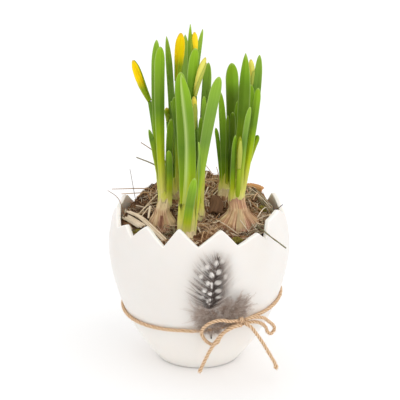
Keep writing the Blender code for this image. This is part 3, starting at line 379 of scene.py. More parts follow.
def lay_twine(making, path, seed, frames=None, closed=False, fray=0.0):
    """Twisted twine with loose fibres. fray is how far its far end has opened."""
    frames = frames or frames_along(path)
    step = (path[1] - path[0]).length
    turns = len(path) * step / STRAND_PITCH
    turns = round(turns * STRANDS) / STRANDS if closed else turns
    rings, grain, edge = [], [], []
    for k, (centre, (_, side, up)) in enumerate(zip(path, frames)):
        drift = WANDER * noise.noise(Vector((k * step * 0.3, 9.0, seed)))
        turn = math.tau * turns * k / len(path) + drift * math.sin(math.pi * k / len(path))
        full = 1 + 0.07 * noise.noise(Vector((k * step * 0.3, seed, 0.0)))
        left = (len(path) - 1 - k) * step
        if fray and left < FRAY_LENGTH:
            full *= 1 + fray * math.sin(math.pi * min(left / FRAY_LENGTH + 0.2, 1.0))
        if fray and left < 1.0:
            full *= 0.55 + 0.45 * left
        ring = []
        for n in range(TWINE_SIDES):
            angle = math.tau * n / TWINE_SIDES
            lobe = abs(math.cos(STRANDS / 2 * (angle - turn))) ** 0.8
            reach = TWINE_RADIUS * full * (STRAND_DIP + STRAND_RISE * lobe)
            ring.append(centre + (side * math.cos(angle) + up * math.sin(angle)) * reach)
            spin = angle - turn
            grain.append((math.cos(spin) * 2, math.sin(spin) * 2, k * step + seed * 40))
            # The edge mark paints shade in the grooves and a highlight on the strands' crowns.
            edge.append(lobe)
        rings.append(ring)
    making.loft(rings, grain, closed=closed, edge=edge)
    fibres = random.Random(seed)
    for _ in range(int(len(path) * step * LOOSE_FIBRES_PER_MM)):
        k = int(fibres.uniform(0, len(path) - 1))
        tangent, side, up = frames[k]
        angle = fibres.uniform(0, math.tau)
        out = side * math.cos(angle) + up * math.sin(angle)
        lean = tangent * fibres.uniform(-1, 1)
        long = fibres.uniform(0.6, 2.0)
        start = path[k] + out * TWINE_RADIUS * 0.7
        end = start + (out * fibres.uniform(0.25, 0.8) + lean).normalized() * long
        bend = start.lerp(end, 0.5) + out * 0.25 * fibres.random()
        if math.hypot(end.x, end.y) < pot_radius(end.z) + 0.1:
            continue
        making.tube([start, bend, end], (0.09, 0.075, 0.03), 3, tint=0.5, edge=0.9)
    if fray:
        tangent, side, up = frames[-1]
        for _ in range(FRAY_FIBRES):
            angle = fibres.uniform(0, math.tau)
            out = side * math.cos(angle) + up * math.sin(angle)
            start = path[-1] - tangent * fibres.uniform(0.2, 2.2) + out * 0.6 * fibres.random()
            end = start + tangent * fibres.uniform(0.8, 2.0) + out * fibres.uniform(0.1, 1.2)
            bend = start.lerp(end, 0.6) + out * 0.2
            making.tube([start, bend, end], (0.14, 0.1, 0.04), 3, tint=0.35, edge=0.8)


# The loops' stops are azimuth, height and distance off the pot. The ends hang clear
# of it, so theirs are x, y and z.
BOW_LOOP_LEFT = (
    (24.2, 49.4, 7.0),
    (18.3, 50.6, 8.5),
    (12.9, 52.6, 9.4),
    (8.0, 51.8, 9.6),
    (3.8, 48.3, 9.2),
    (1.7, 43.6, 8.2),
    (2.4, 38.0, 7.2),
    (5.4, 33.0, 6.8),
    (9.4, 30.2, 6.8),
    (13.0, 32.0, 7.2),
    (13.8, 36.8, 7.8),
    (16.0, 41.1, 8.2),
    (19.0, 44.4, 8.2),
    (24.2, 46.5, 7.0),
)
BOW_LOOP_RIGHT = (
    (29.8, 49.3, 7.0),
    (33.0, 49.8, 7.6),
    (37.4, 49.4, 8.0),
    (43.5, 46.8, 8.8),
    (49.6, 41.8, 9.4),
    (54.6, 37.4, 10.8),
    (56.8, 33.4, 12.6),
    (54.6, 30.4, 13.0),
    (50.8, 33.0, 11.4),
    (47.4, 38.2, 9.8),
    (42.6, 42.6, 9.0),
    (37.4, 45.4, 8.2),
    (33.0, 46.3, 7.6),
    (29.8, 46.5, 7.0),
)
BOW_TAIL_LEFT = (
    (29.5, -61.3, 46.4),
    (25.5, -64.2, 47.0),
    (20.5, -64.6, 44.7),
    (15.7, -64.4, 41.0),
    (12.6, -64.0, 36.8),
    (9.6, -63.8, 31.9),
    (6.4, -63.2, 25.8),
    (2.7, -62.2, 17.3),
    (0.4, -61.0, 11.1),
)
BOW_TAIL_RIGHT = (
    (32.1, -59.0, 47.2),
    (36.2, -61.2, 45.4),
    (39.6, -59.8, 40.4),
    (44.9, -57.4, 31.7),
    (49.8, -54.5, 22.0),
    (53.5, -51.4, 14.4),
    (55.2, -49.4, 8.8),
)
# Each cord: its solid, its route, its far end, how it lies and how far it is frayed.
BOW = (
    ("bow_loop_left", [on_pot(*stop) for stop in BOW_LOOP_LEFT], "object", "loose", 0.0),
    ("bow_loop_right", [on_pot(*stop) for stop in BOW_LOOP_RIGHT], "object", "loose", 0.0),
    ("bow_tail_left", [Vector(stop) for stop in BOW_TAIL_LEFT], "bare", "hanging", 0.25),
    ("bow_tail_right", [Vector(stop) for stop in BOW_TAIL_RIGHT], "bare", "hanging", 0.55),
)
for number, (solid, route, far_end, lay, fray) in enumerate(BOW):
    making = Making()
    path = even_path(route, 0.6)
    lay_twine(making, path, number + 1, fray=fray)
    length = sum((b - a).length for a, b in zip(path, path[1:])) * MM
    piece = make_piece("jute_" + solid, making, jute, "twine", solid)


# The pot. One shell of white earthenware with a satin glaze, cast like an egg
# with its top broken off, standing on a small flat foot. A painted highlight
# brightens the glaze over the softened edges of the teeth, and painted light
# brightens it towards the foot.
POT_WALL = 3.3
POT_FLOOR = 5.0
# The azimuth and height of each notch and tooth of the rim.
RIM = (
    (-179.0, 105.3),
    (-168.0, 114.5),
    (-158.0, 105.8),
    (-146.0, 115.5),
    (-129.0, 105.0),
    (-112.0, 116.4),
    (-98.0, 105.5),
    (-79.4, 117.3),
    (-67.0, 106.5),
    (-56.8, 111.1),
    (-48.7, 104.7),
    (-37.5, 114.5),
    (-22.8, 103.4),
    (-13.6, 115.7),
    (-0.5, 104.3),
    (15.0, 115.0),
    (25.6, 103.5),
    (41.6, 109.2),
    (47.6, 103.6),
    (54.0, 115.2),
    (70.0, 117.9),
    (92.0, 105.2),
    (109.5, 118.6),
    (126.0, 105.5),
    (139.0, 115.0),
    (151.0, 106.0),
    (166.0, 116.5),
)
TIP_ROUNDING = 0.12
LIP_DEPTH = 3.2
RIM_STEPS = (0.0, 0.05, 0.12, 0.22, 0.36, 0.5, 0.64, 0.78, 0.88, 0.95)
RIM_FOOT = 95
# Height up to which painted light brightens the glaze at the foot.
FOOT_LIGHT_HEIGHT = 40

# Broad patches of colour, with a finer crumb, for glaze, soil, moss, leaf and skin.
mottling, given, put_out = new_group(
    "Mottling", (("Broad", "Float", 60.0), ("Fine", "Float", 600.0)), ("Patch", "Crumb")
)
place = node(mottling, "TexCoord").outputs["Object"]
patch = node(mottling, "TexNoise", {"Vector": place, "Scale": given["Broad"], "Detail": 3.0})
crumb = node(mottling, "TexNoise", {"Vector": place, "Scale": given["Fine"], "Detail": 2.0})
spread = node(mottling, "MapRange", {0: patch, 1: 0.35, 2: 0.65})
mottling.links.new(spread.outputs[0], put_out["Patch"])
mottling.links.new(crumb.outputs[0], put_out["Crumb"])

glaze, tree, shader = new_finish(
    "satin white glaze",
    0.36,
    Specular_IOR_Level=0.5,
    Subsurface_Weight=0.4,
    Subsurface_Radius=(1.0, 0.8, 0.7),
    Subsurface_Scale=5 * MM,
)
patches = place_group(tree, mottling, Broad=24.0, Fine=420.0)
colour = blend(tree, patches["Patch"], rgb(236, 231, 226), rgb(233, 227, 221))
# Painted highlight along the rim's edges and painted light towards the foot, following the edge mark.
colour = blend(tree, mark_of(tree, "edge"), colour, rgb(250, 243, 236))
colour = blend(tree, mark_of(tree, "tint"), colour, rgb(222, 208, 194))
tree.links.new(colour, shader.inputs["Base Color"])
uneven = math_of(tree, "MULTIPLY_ADD", patches["Crumb"], 0.16, 0.28)
tree.links.new(uneven, shader.inputs["Roughness"])
raise_surface(tree, shader, patches["Crumb"], 0.12, 0.3)

columns = []
scale = math.sqrt(1 + TIP_ROUNDING**2) - TIP_ROUNDING
for k, (azimuth, height) in enumerate(RIM):
    next_azimuth, next_height = RIM[(k + 1) % len(RIM)]
    next_azimuth += 360 if next_azimuth < azimuth else 0
    for f in RIM_STEPS:
        away = 1 - f if next_height > height else f
        drop = (math.sqrt(away**2 + TIP_ROUNDING**2) - TIP_ROUNDING) / scale
        top = min(height, next_height) + abs(next_height - height) * (1 - drop)
        at = azimuth + (next_azimuth - azimuth) * f
        columns.append((at, top + 0.22 * noise.noise(Vector((at * 0.35, 2.0, 0.0)))))

rings, edge, dust = [], [], []


def add_row(spots, bright=0.0, soiled=0.0):
    """One more row of the pot's skin, with how much painted light brightens it and how soiled it is."""
    rings.append(spots)
    edge.extend([bright] * len(spots))
    dust.extend([soiled] * len(spots))


for z, inset in ((0.0, 1.4), (0.12, 0.9), (0.5, 0.25)):
    add_row([around(a, pot_radius(z) - inset, z) for a, _ in columns])
for z in (1.2, 3, 6, 9, 13, 17, 22, 27, 33, 39, 46, 53, 60, 67, 74, 80, 86, 91, RIM_FOOT):
    # Painted light brightens the glaze towards the foot.
    painted_foot_light = min(1.4 * max(1 - z / FOOT_LIGHT_HEIGHT, 0.0), 1.0)
    add_row([around(a, pot_radius(z), z) for a, _ in columns], painted_foot_light)
for share in (0.35, 0.7, 1.0):
    row = []
    for a, top in columns:
        z = RIM_FOOT + (top - LIP_DEPTH - RIM_FOOT) * share
        row.append(around(a, pot_radius(z), z))
    add_row(row)
# Rows over the rounded lip of the rim; the third value paints a highlight along its edges.
for inset, below, bright in (
    (0.0, 1.2, 0.0),
    (0.0, 0.7, 0.4),
    (0.06, 0.42, 1.0),
    (0.21, 0.2, 1.0),
    (0.43, 0.06, 1.0),
    (0.7, 0.0, 0.8),
    (1.65, -0.06, 0.5),
    (2.6, 0.0, 0.5),
    (2.87, 0.06, 0.6),
    (3.09, 0.2, 0.4),
    (3.24, 0.43, 0.2),
    (POT_WALL, 0.8, 0.0),
    (POT_WALL, LIP_DEPTH, 0.0),
):
    spots = [around(a, pot_radius(top - below) - inset, top - below) for a, top in columns]
    add_row(spots, bright)
for z, soiled in ((101, 0.0), (96, 0.3), (88, 0.9), (66, 1.0), (34, 1.0), (POT_FLOOR, 1.0)):
    add_row([around(a, pot_radius(z) - POT_WALL, z) for a, _ in columns], 0.0, soiled)
making = Making()
making.loft(rings, edge=edge, tint=dust)
make_piece("eggshell_pot", making, glaze, "ceramic", "pot", crease=38)


# The mulch. Dark potting soil fills the pot to the teeth's notches, and a loose
# litter of straw, dry grass, root fibre and bark chips lies on it, heaped up
# towards the back. Nothing holds it but its own weight.
SOIL_LEVEL = 105.0
SOIL_SLOPE = 0.09
SOIL_BACK_RISE = 0.0045
SOIL_FALL_FROM = 54.5
SOIL_FALL = 2.0
LITTER_RELIEF = 0.9
# Each heap or hollow of the mulch: x, y, rise and spread.
HEAPS = (
    (-36, 38, 1.6, 150),
    (45, 28, 5.0, 170),
    (8, 48, 1.5, 150),
    (-27, -20, -7.0, 220),
    (30, -25, -3.0, 170),
)
# Each bulb: its middle, radius, top and the radius of its neck.
BULBS = {
    "bulb_left": ((-26.5, -2.6, 98.0), 10.8, 112.6, 5.2),
    "bulb_back": ((-16.0, 29.5, 97.0), 11.5, 111.6, 5.0),
    "bulb_front": ((-7.0, -32.0, 85.5), 13.0, 99.6, 6.2),
    "bulb_middle": ((0.0, 5.0, 90.5), 10.2, 103.6, 5.0),
    "bulb_right": ((28.5, -3.5, 97.5), 16.6, 114.4, 6.4),
    "bulb_right_back": ((19.5, 34.0, 98.0), 12.0, 112.4, 6.6),
}
# Each sheath: its foot, half its width and depth, its base and its height.
SHEATHS = {
    "shoot_left": ((-25.2, 3.6), 4.7, 4.4, 112.8, 12.0),
    "shoot_back": ((-17.3, 27.5), 4.4, 4.4, 112.0, 16.0),
    "shoot_front": ((-8.8, -28.2), 6.8, 5.2, 100.0, 21.0),
    "shoot_middle": ((-0.8, 0.5), 4.9, 5.2, 104.0, 15.0),
    "shoot_right": ((27.4, 3.2), 6.2, 5.2, 114.8, 14.0),
    "shoot_right_back": ((20.4, 33.5), 6.0, 4.4, 112.8, 13.0),
}


def soil_height(x, y):
    """The mulch's height: level at the front, heaped towards the back rim."""
    level = SOIL_LEVEL + SOIL_SLOPE * y + SOIL_BACK_RISE * max(y, 0) ** 2
    for heap_x, heap_y, rise, spread in HEAPS:
        level += rise * math.exp(-((x - heap_x) ** 2 + (y - heap_y) ** 2) / spread)
    return level - SOIL_FALL * max(math.hypot(x, y) - SOIL_FALL_FROM, 0)


def lumps(x, y):
    """Relief of the litter, as crossed waves."""
    return (
        math.sin(x * 0.61 + 1.3) * math.cos(y * 0.53)
        + 0.7 * math.sin(x * 0.29 - y * 0.47)
        + 0.5 * math.sin(x * 1.07 + y * 0.83)
    )


def ground(x, y):
    """The height of the soil, or of a bulb's shoulder where that is higher."""
    height = soil_height(x, y) + LITTER_RELIEF * lumps(x, y)
    for (bulb_x, bulb_y, bulb_z), radius, top, _ in BULBS.values():
        near = ((x - bulb_x) ** 2 + (y - bulb_y) ** 2) / radius**2
        if near < 1:
            height = max(height, bulb_z + (top - bulb_z) * math.sqrt(1 - near))
    return height


soil, tree, shader = new_finish("potting soil", 1.0, Specular_IOR_Level=0.15)
patches = place_group(tree, mottling, Broad=90.0, Fine=900.0)
colour = colour_run(
    tree,
    patches["Patch"],
    ((0.0, rgb(70, 48, 34)), (0.5, rgb(116, 80, 54)), (1.0, rgb(160, 118, 82))),
)
colour = blend(tree, math_of(tree, "MULTIPLY", patches["Crumb"], 0.4), colour, rgb(54, 36, 26))
tree.links.new(colour, shader.inputs["Base Color"])
raise_surface(tree, shader, patches["Crumb"], 1.0, 0.8)

SOIL_SPOKES = 132
SOIL_REACH = 58
SOIL_CRUMBS = 1.3

making = Making()
rings = []
for step in range(1, SOIL_REACH + 1):
    ring = []
    for k in range(SOIL_SPOKES):
        spot = around(360 * k / SOIL_SPOKES, step, 0)
        crumbs = noise.turbulence(spot * 0.42, 3, True) - 0.5
        spot.z = soil_height(spot.x, spot.y) + lumps(spot.x, spot.y) + SOIL_CRUMBS * crumbs
        ring.append(spot)
    rings.append(ring)
for z in (94.0, 80.0, 66.0, 34.0, POT_FLOOR + 0.6):
    radius = pot_radius(z) - POT_WALL - 0.8
    rings.append([around(360 * k / SOIL_SPOKES, radius, z) for k in range(SOIL_SPOKES)])
making.loft(rings)
make_piece("potting_soil", making, soil, "mulch", "mulch")

dry_stems, tree, shader = new_finish("dry stems and bark", 0.85, Specular_IOR_Level=0.15)
streaks = place_group(tree, fibre_streaks, Grain=mark_of(tree, "grain"), Fine=2.4, Long=0.12)
wander = math_of(tree, "SUBTRACT", streaks["Streak"], 0.5)
shade_of_stem = math_of(tree, "MULTIPLY_ADD", wander, 0.05, mark_of(tree, "tint"))
STEM_COLOURS = (
    (0.0, rgb(64, 46, 34)),
    (0.16, rgb(114, 84, 62)),
    (0.3, rgb(176, 130, 92)),
    (0.44, rgb(214, 176, 136)),
    (0.58, rgb(238, 214, 180)),
    (0.7, rgb(252, 238, 214)),
    (0.78, rgb(164, 152, 120)),
    (0.88, rgb(120, 114, 86)),
    (1.0, rgb(74, 72, 50)),
)
colour = colour_run(tree, shade_of_stem, STEM_COLOURS)
darker = math_of(tree, "MULTIPLY", math_of(tree, "SUBTRACT", 1.0, streaks["Streak"]), 0.3)
colour = blend(tree, mark_of(tree, "tone"), colour, rgb(232, 168, 108))
colour = blend(tree, darker, colour, rgb(96, 66, 46))
tree.links.new(colour, shader.inputs["Base Color"])
raise_surface(tree, shader, streaks["Height"], 0.5, 0.25)

# Straws that are placed one by one: tint, radius and route. The first ones stand
# out over the rim, and the last eight lie on top of the litter.
PLACED_STRAWS = (
    (0.3, 0.5, ((-22.5, 19.0, 108.0), (-24.6, 18.6, 142.0), (-33.8, 17.0, 151.5), (-42.0, 14.0, 158.3))),
    (0.8, 0.75, ((-23.4, 20.0, 108.0), (-25.4, 19.0, 134.0), (-32.8, 17.5, 140.7), (-45.5, 15.0, 146.9))),
    (0.14, 0.28, ((-45.1, 19.0, 104.0), (-47.8, 21.0, 119.0), (-50.6, 22.0, 136.0))),
    (0.24, 0.34, ((-53.0, 5.0, 103.0), (-57.3, 8.5, 114.6), (-60.8, 12.0, 118.6), (-66.6, 12.0, 122.6))),
    (0.36, 0.45, ((-28.0, 36.0, 113.0), (-39.0, 33.0, 117.6), (-64.0, 21.0, 121.0))),
    (0.42, 0.5, ((-27.0, 41.0, 113.0), (-36.0, 30.0, 115.8), (-57.0, 20.0, 117.6))),
    (0.4, 0.4, ((16.0, 44.0, 114.0), (12.0, 47.0, 122.0), (5.0, 50.0, 131.0))),
    (0.34, 0.4, ((14.0, 40.0, 114.0), (14.5, 46.0, 124.0), (13.0, 49.0, 130.0))),
    (0.05, 0.45, ((46.0, 3.0, 102.0), (54.0, 1.0, 109.6), (60.5, -1.0, 116.0))),
    (0.66, 0.5, ((-30.3, 24.0, 110.0), (-37.0, 13.0, 111.4), (-45.1, 0.0, 107.0))),
    (0.62, 0.55, ((-34.0, 12.0, 108.6), (-37.0, 7.0, 110.6), (-42.2, -4.0, 107.0))),
    (0.84, 0.6, ((35.4, 36.0, 113.0), (43.0, 22.0, 113.4), (51.6, 4.0, 107.6))),
    (0.78, 0.6, ((38.5, 38.0, 113.6), (46.0, 24.0, 113.6), (52.6, 8.0, 108.0))),
    (0.66, 0.5, ((40.0, -3.0, 103.0), (47.0, 8.0, 110.0), (52.0, 13.0, 109.0))),
    (0.5, 0.55, ((53.0, 8.0, 104.0), (51.0, -5.0, 107.6), (48.0, -19.0, 102.0))),
    (0.42, 0.6, ((4.0, -19.0, 101.0), (3.0, -31.0, 104.6), (1.0, -46.0, 100.0))),
    (0.4, 0.55, ((9.0, -17.0, 101.0), (7.0, -27.0, 104.8), (4.0, -38.0, 100.0))),
    (0.8, 0.5, ((35.0, 36.0, 117.6), (43.0, 22.0, 115.0), (51.6, 6.0, 109.6))),
    (0.74, 0.45, ((39.9, 38.0, 117.4), (46.0, 25.0, 115.2), (53.8, 10.0, 110.6))),
    (0.7, 0.4, ((37.4, 37.0, 117.6), (44.6, 23.5, 115.2), (52.6, 8.0, 110.2))),
    (0.62, 0.4, ((41.7, -6.0, 106.0), (48.0, -2.0, 107.6), (54.0, 0.0, 108.6))),
    (0.64, 0.55, ((51.5, 0.0, 108.2), (50.0, -8.0, 105.6), (47.5, -16.0, 103.4))),
    (0.66, 0.4, ((29.6, -15.5, 108.6), (33.0, -20.5, 105.4), (35.6, -24.0, 102.8))),
    (0.66, 1.1, ((-35.4, 8.0, 111.6), (-36.2, 3.0, 108.6), (-36.7, -2.0, 105.8))),
    (0.6, 0.5, ((-31.0, 24.0, 116.0), (-38.0, 12.0, 111.6), (-45.0, 0.0, 107.2))),
)
# Round spots that the litter leaves bare for the reeds, the bark and a cushion of
# moss: x, y and reach.
BARE_SPOTS = (
    (-53.6, 4.0, 3.4),
    (-50.6, -1.0, 3.4),
    (-47.7, -6.0, 3.4),
    (-44.0, -12.0, 3.4),
    (-40.4, -18.0, 3.4),
    (3.5, -26.0, 1.8),
    (2.6, -33.0, 2.0),
    (1.6, -41.0, 2.0),
    (13.1, 19.5, 5.0),
    (12.0, 13.0, 5.0),
    (10.7, 8.0, 4.5),
    (41.7, 37.0, 3.0),
    (46.4, 12.0, 2.8),
)
# How the litter's colour lies: x from and to, y from and to, the share of straws
# that take it, and their tint from and to. The first row that fits counts: dark at
# the left, pale at the back, greenish at the right and tan in the middle.
ALL = (-99, 99)
LITTER_PATCHES = (
    ((-99, -26), (-12, 34), 0.7, (0.0, 0.18)),
    (ALL, (22, 99), 0.7, (0.32, 0.62)),
    ((33, 99), ALL, 0.6, (0.62, 0.86)),
    ((-99, -10), ALL, 0.25, (0.76, 0.95)),
    ((-4, 20), (-30, 2), 0.5, (0.34, 0.6)),
    (ALL, ALL, 0.5, (0.06, 0.3)),
    (ALL, ALL, 0.8, (0.3, 0.5)),
    (ALL, ALL, 1.0, (0.5, 0.7)),
)
STRAWS = 560
ROOT_FIBRES = 1500
BARK_CHIPS = 90
LITTER_REACH = 56
LITTER_EDGE = 57
BARE_BULBS = ("bulb_left", "bulb_right")
BARE_SHARE = 0.88
litter = random.Random(5)


def is_free(spots, clear):
    """Whether a straw lies inside the pot, clear of shoots, bare bulbs and bare spots."""
    for spot in spots:
        if math.hypot(spot.x, spot.y) > LITTER_EDGE:
            return False
        for x, y, reach in BARE_SPOTS:
            if math.hypot(spot.x - x, spot.y - y) < reach:
                return False
        for bulb in BARE_BULBS:
            (x, y, _), radius, _, _ = BULBS[bulb]
            if math.hypot(spot.x - x, spot.y - y) < BARE_SHARE * radius:
                return False
        for (x, y), across, deep, _, _ in SHEATHS.values():
            if ((spot.x - x) / (across + clear)) ** 2 + ((spot.y - y) / (deep + clear)) ** 2 < 1:
                return False
    return True


def litter_colour(x, y):
    """The tint of a straw that lies at x, y."""
    pick = litter.random()
    for (left, right), (near, far), share, (low, high) in LITTER_PATCHES:
        if left < x < right and near < y < far and pick < share:
            return litter.uniform(low, high)


def litter_spot(reach):
    """A point drawn evenly over the pot's mouth, out to reach."""
    return around(litter.uniform(0, 360), reach * math.sqrt(litter.random()), 0)


making = Making()
for tint, radius, route in PLACED_STRAWS:
    path = even_path(route, 1.5)
    radii = [radius * (1.0 - 0.45 * k / len(path)) for k in range(len(path))]
    making.tube(path, radii, 7, start=litter.uniform(0, 90), tint=tint)
laid = 0
while laid < STRAWS:
    middle = litter_spot(LITTER_REACH)
    heading = around(litter.uniform(0, 360), 1, 0)
    half = litter.choice((3.0, 4.5, 6.0, 8.0, 11.0)) * litter.uniform(0.8, 1.2)
    bow = around(litter.uniform(0, 360), half * litter.uniform(0.0, 0.16), 0)
    spots = [middle - heading * half, middle + bow, middle + heading * half]
    radius = litter.choice((0.15, 0.2, 0.28, 0.4, 0.55)) * litter.uniform(0.8, 1.2)
    if not is_free(spots, 1.2):
        continue
    near, far = ground(spots[0].x, spots[0].y), ground(spots[2].x, spots[2].y)
    between = max(ground(spots[1].x, spots[1].y), (near + far) / 2)
    lift = litter.uniform(-0.2, 1.5)
    for spot, height in zip(spots, (near, between, far)):
        spot.z = height + lift + radius * 0.5
    spots[0].z += litter.uniform(-0.8, 1.2)
    spots[2].z += litter.uniform(-0.8, 1.2)
    path = even_path(spots, 3.0)
    radii = [radius * (1 - 0.25 * k / len(path)) for k in range(len(path))]
    flat = litter.choice((1.0, 0.85, 0.4))
    tint = litter_colour(middle.x, middle.y)
    sides = 6 if radius > 0.35 else 4
    making.tube(path, radii, sides, flat, start=litter.uniform(0, 90), tint=tint)
    laid += 1
laid = 0
while laid < ROOT_FIBRES:
    at = litter_spot(LITTER_REACH)
    heading = litter.uniform(0, math.tau)
    turn = litter.uniform(-0.5, 0.5)
    height = litter.uniform(0.0, 1.6)
    path = []
    for k in range(6):
        path.append(Vector((at.x, at.y, ground(at.x, at.y) + height * math.sin(0.6 * k))))
        heading += turn + litter.uniform(-0.5, 0.5)
        at = at + Vector((math.cos(heading), math.sin(heading), 0)) * litter.uniform(1.0, 2.6)
    if not is_free(path, 0.6):
        continue
    radius = litter.uniform(0.08, 0.17)
    tint = litter_colour(at.x, at.y)
    making.tube(path, [radius] * 5 + [radius * 0.4], 3, start=litter.uniform(0, 90), tint=tint)
    laid += 1
for _ in range(BARK_CHIPS):
    at = litter_spot(LITTER_REACH - 2)
    if not is_free([at], 2.0):
        continue
    at.z = ground(at.x, at.y) + litter.uniform(0.2, 1.0)
    heading = litter.uniform(0, math.tau)
    long, wide = litter.uniform(1.6, 3.6), litter.uniform(0.9, 1.9)
    lean = Vector((litter.uniform(-0.5, 0.5), litter.uniform(-0.5, 0.5), 1)).normalized()
    along = Vector((math.cos(heading), math.sin(heading), 0))
    along = (along - lean * along.dot(lean)).normalized()
    across = lean.cross(along)
    outline = []
    for k in range(9):
        angle = math.tau * k / 9
        ragged = litter.uniform(0.7, 1.1)
        reach = along * (math.cos(angle) * long) + across * (math.sin(angle) * wide)
        outline.append(at + reach * ragged)
    rings = [[spot - lean * 0.3 for spot in outline], [spot + lean * 0.3 for spot in outline]]
    marks = [(point.dot(across), 0.0, point.dot(along)) for ring in rings for point in ring]
    making.loft(rings, marks, tint=litter.uniform(0.02, 0.3))
make_piece("straw_litter", making, dry_stems, "straw", crease=50)


# Bigger loose pieces of mulch: flat and split reeds, an orange strip of bark, a
# brown flake of bulb skin, and a limp stalk over a notch of the rim. Each just
# lies on the litter. Reed and bark are split along the grain, with torn ends.

# Each strip: its route, then width, thickness, roll, splits side by side, tint and
# how rusty it is.
STRIPS = {
    "reed_flat": (
        ((-53.6, 4.0, 105.2), (-47.7, -6.0, 105.2), (-40.4, -18.0, 104.6)),
        (6.4, 1.1, 12.0, 4, 0.65, 0.0),
    ),
    "reed_split": (
        ((-51.9, 9.0, 107.4), (-41.8, -5.6, 107.4), (-31.0, -27.0, 104.6), (-23.5, -40.0, 101.6)),
        (3.6, 1.3, 0.0, 2, 0.62, 0.0),
    ),
    "reed_back": (
        ((1.0, 46.0, 120.0), (8.0, 46.0, 120.6), (15.0, 45.0, 119.6)),
        (3.0, 1.0, 0.0, 2, 0.4, 0.0),
    ),
    "bark_orange": (
        ((35.0, 42.0, 117.2), (41.7, 37.0, 117.6), (47.7, 30.0, 117.2)),
        (5.6, 1.0, 52.0, 1, 0.33, 0.75),
    ),
    "bark_brown": (
        ((11.4, 28.0, 113.5), (13.1, 19.5, 110.0), (10.7, 8.0, 106.6)),
        (10.0, 1.1, 0.0, 1, 0.17, 0.0),
    ),
}


def lay_strip(making, path, width, thickness, roll, tint, seed, rusty):
    """A flat strip of reed, bark or skin, arched across its width, with torn ends."""
    across = (-1.0, -0.7, -0.35, 0.0, 0.35, 0.7, 1.0)
    lean = math.radians(roll)
    rings, grain = [], []
    run = 0.0
    for k, (centre, (tangent, _, _)) in enumerate(zip(path, frames_along(path))):
        run += (centre - path[k - 1]).length if k else 0.0
        end = min(k, len(path) - 1 - k)
        pinch = 1 - 0.3 * max(1 - end / 2.5, 0) ** 1.5
        level = tangent.cross(Vector((0, 0, 1))).normalized()
        side = level * math.cos(lean) - level.cross(tangent) * math.sin(lean)
        up = side.cross(tangent)
        ring = []
        for face, order in ((-1, across), (1, across[::-1])):
            for u in order:
                ragged = 1 + 0.22 * noise.noise(Vector((run * 0.7, u * 2 + seed, 0.0)))
                half = width / 2 * pinch * ragged
                rise = 0.12 * width * (1 - 2 * u * u) + face * thickness / 2 * (1 - 0.5 * u * u)
                rise += 0.14 * math.sin(u * 9 + seed)
                ring.append(centre + side * (u * half) + up * rise)
                grain.append((u * half + seed * 7, face * 0.2, run))
        rings.append(ring)
    making.loft(rings, grain, tint=tint, tone=rusty)


for number, (solid, (route, sizes)) in enumerate(STRIPS.items()):
    width, thickness, roll, count, tint, rusty = sizes
    making = Making()
    middle = even_path(route, 1.1)
    frames = frames_along(middle)
    for k in range(count):
        place = (k + 0.5) / count - 0.5
        path = []
        for step, (centre, (tangent, _, _)) in enumerate(zip(middle, frames)):
            side = tangent.cross(Vector((0, 0, 1))).normalized()
            fan = 1 + 0.3 * step / len(middle) if solid == "reed_split" else 1.0
            drop = Vector((0, 0, math.tan(math.radians(roll)) * place * width))
            path.append(centre + side * (place * width * fan) - drop + Vector((0, 0, 0.15 * (k % 2))))
        cut = (k * 2 + number) % 3
        path = path[cut : len(path) - (k + number) % 2]
        lay_strip(making, path, width / count, thickness, roll, tint + 0.02 * k, number + 3.7 * k, rusty)
    slot = "bark" if solid.startswith("bark") else "straw"
    make_piece("loose_" + solid, making, dry_stems, slot, solid, crease=45)

STALK_ROUTE = (
    (41.6, -16.0, 104.6),
    (43.2, -27.0, 106.4),
    (44.6, -36.0, 108.3),
    (46.4, -43.0, 108.7),
    (50.6, -46.4, 106.2),
    (55.7, -47.4, 102.6),
    (60.6, -47.8, 98.8),
)
making = Making()
path = even_path(STALK_ROUTE, 1.0)
radii = [0.65 * (1 + 0.1 * math.sin(k * 0.9)) * (1 - 0.2 * k / len(path)) for k in range(len(path))]
making.tube(path, radii, 12, 0.8, tint=0.86)
make_piece("loose_dry_stalk", making, dry_stems, "straw", "dry_stalk")


# Three cushions of moss between the straws. Each is a low crown of crowded
# fronds, bright yellow green at their tips, rooted in the soil.

# Each cushion: its middle, radius and height.
MOSS = {
    "moss_right": ((46.4, 12.0, 107.4), 4.2, 3.0),
    "moss_front": ((26.4, -42.0, 101.8), 4.4, 2.4),
    "moss_left": ((-43.4, -23.8, 101.6), 4.0, 2.4),
}
FRONDS = 420
moss_green, tree, shader = new_finish("moss", 0.9, Specular_IOR_Level=0.2)
patches = place_group(tree, mottling, Broad=220.0, Fine=1400.0)
colour = colour_run(
    tree,
    mark_of(tree, "tint"),
    ((0.0, rgb(70, 58, 26)), (0.5, rgb(140, 128, 52)), (1.0, rgb(212, 198, 104))),
)
shaded = math_of(tree, "MULTIPLY", patches["Patch"], 0.5)
colour = blend(tree, shaded, colour, rgb(96, 78, 36))
tree.links.new(colour, shader.inputs["Base Color"])
raise_surface(tree, shader, patches["Crumb"], 0.6, 0.4)

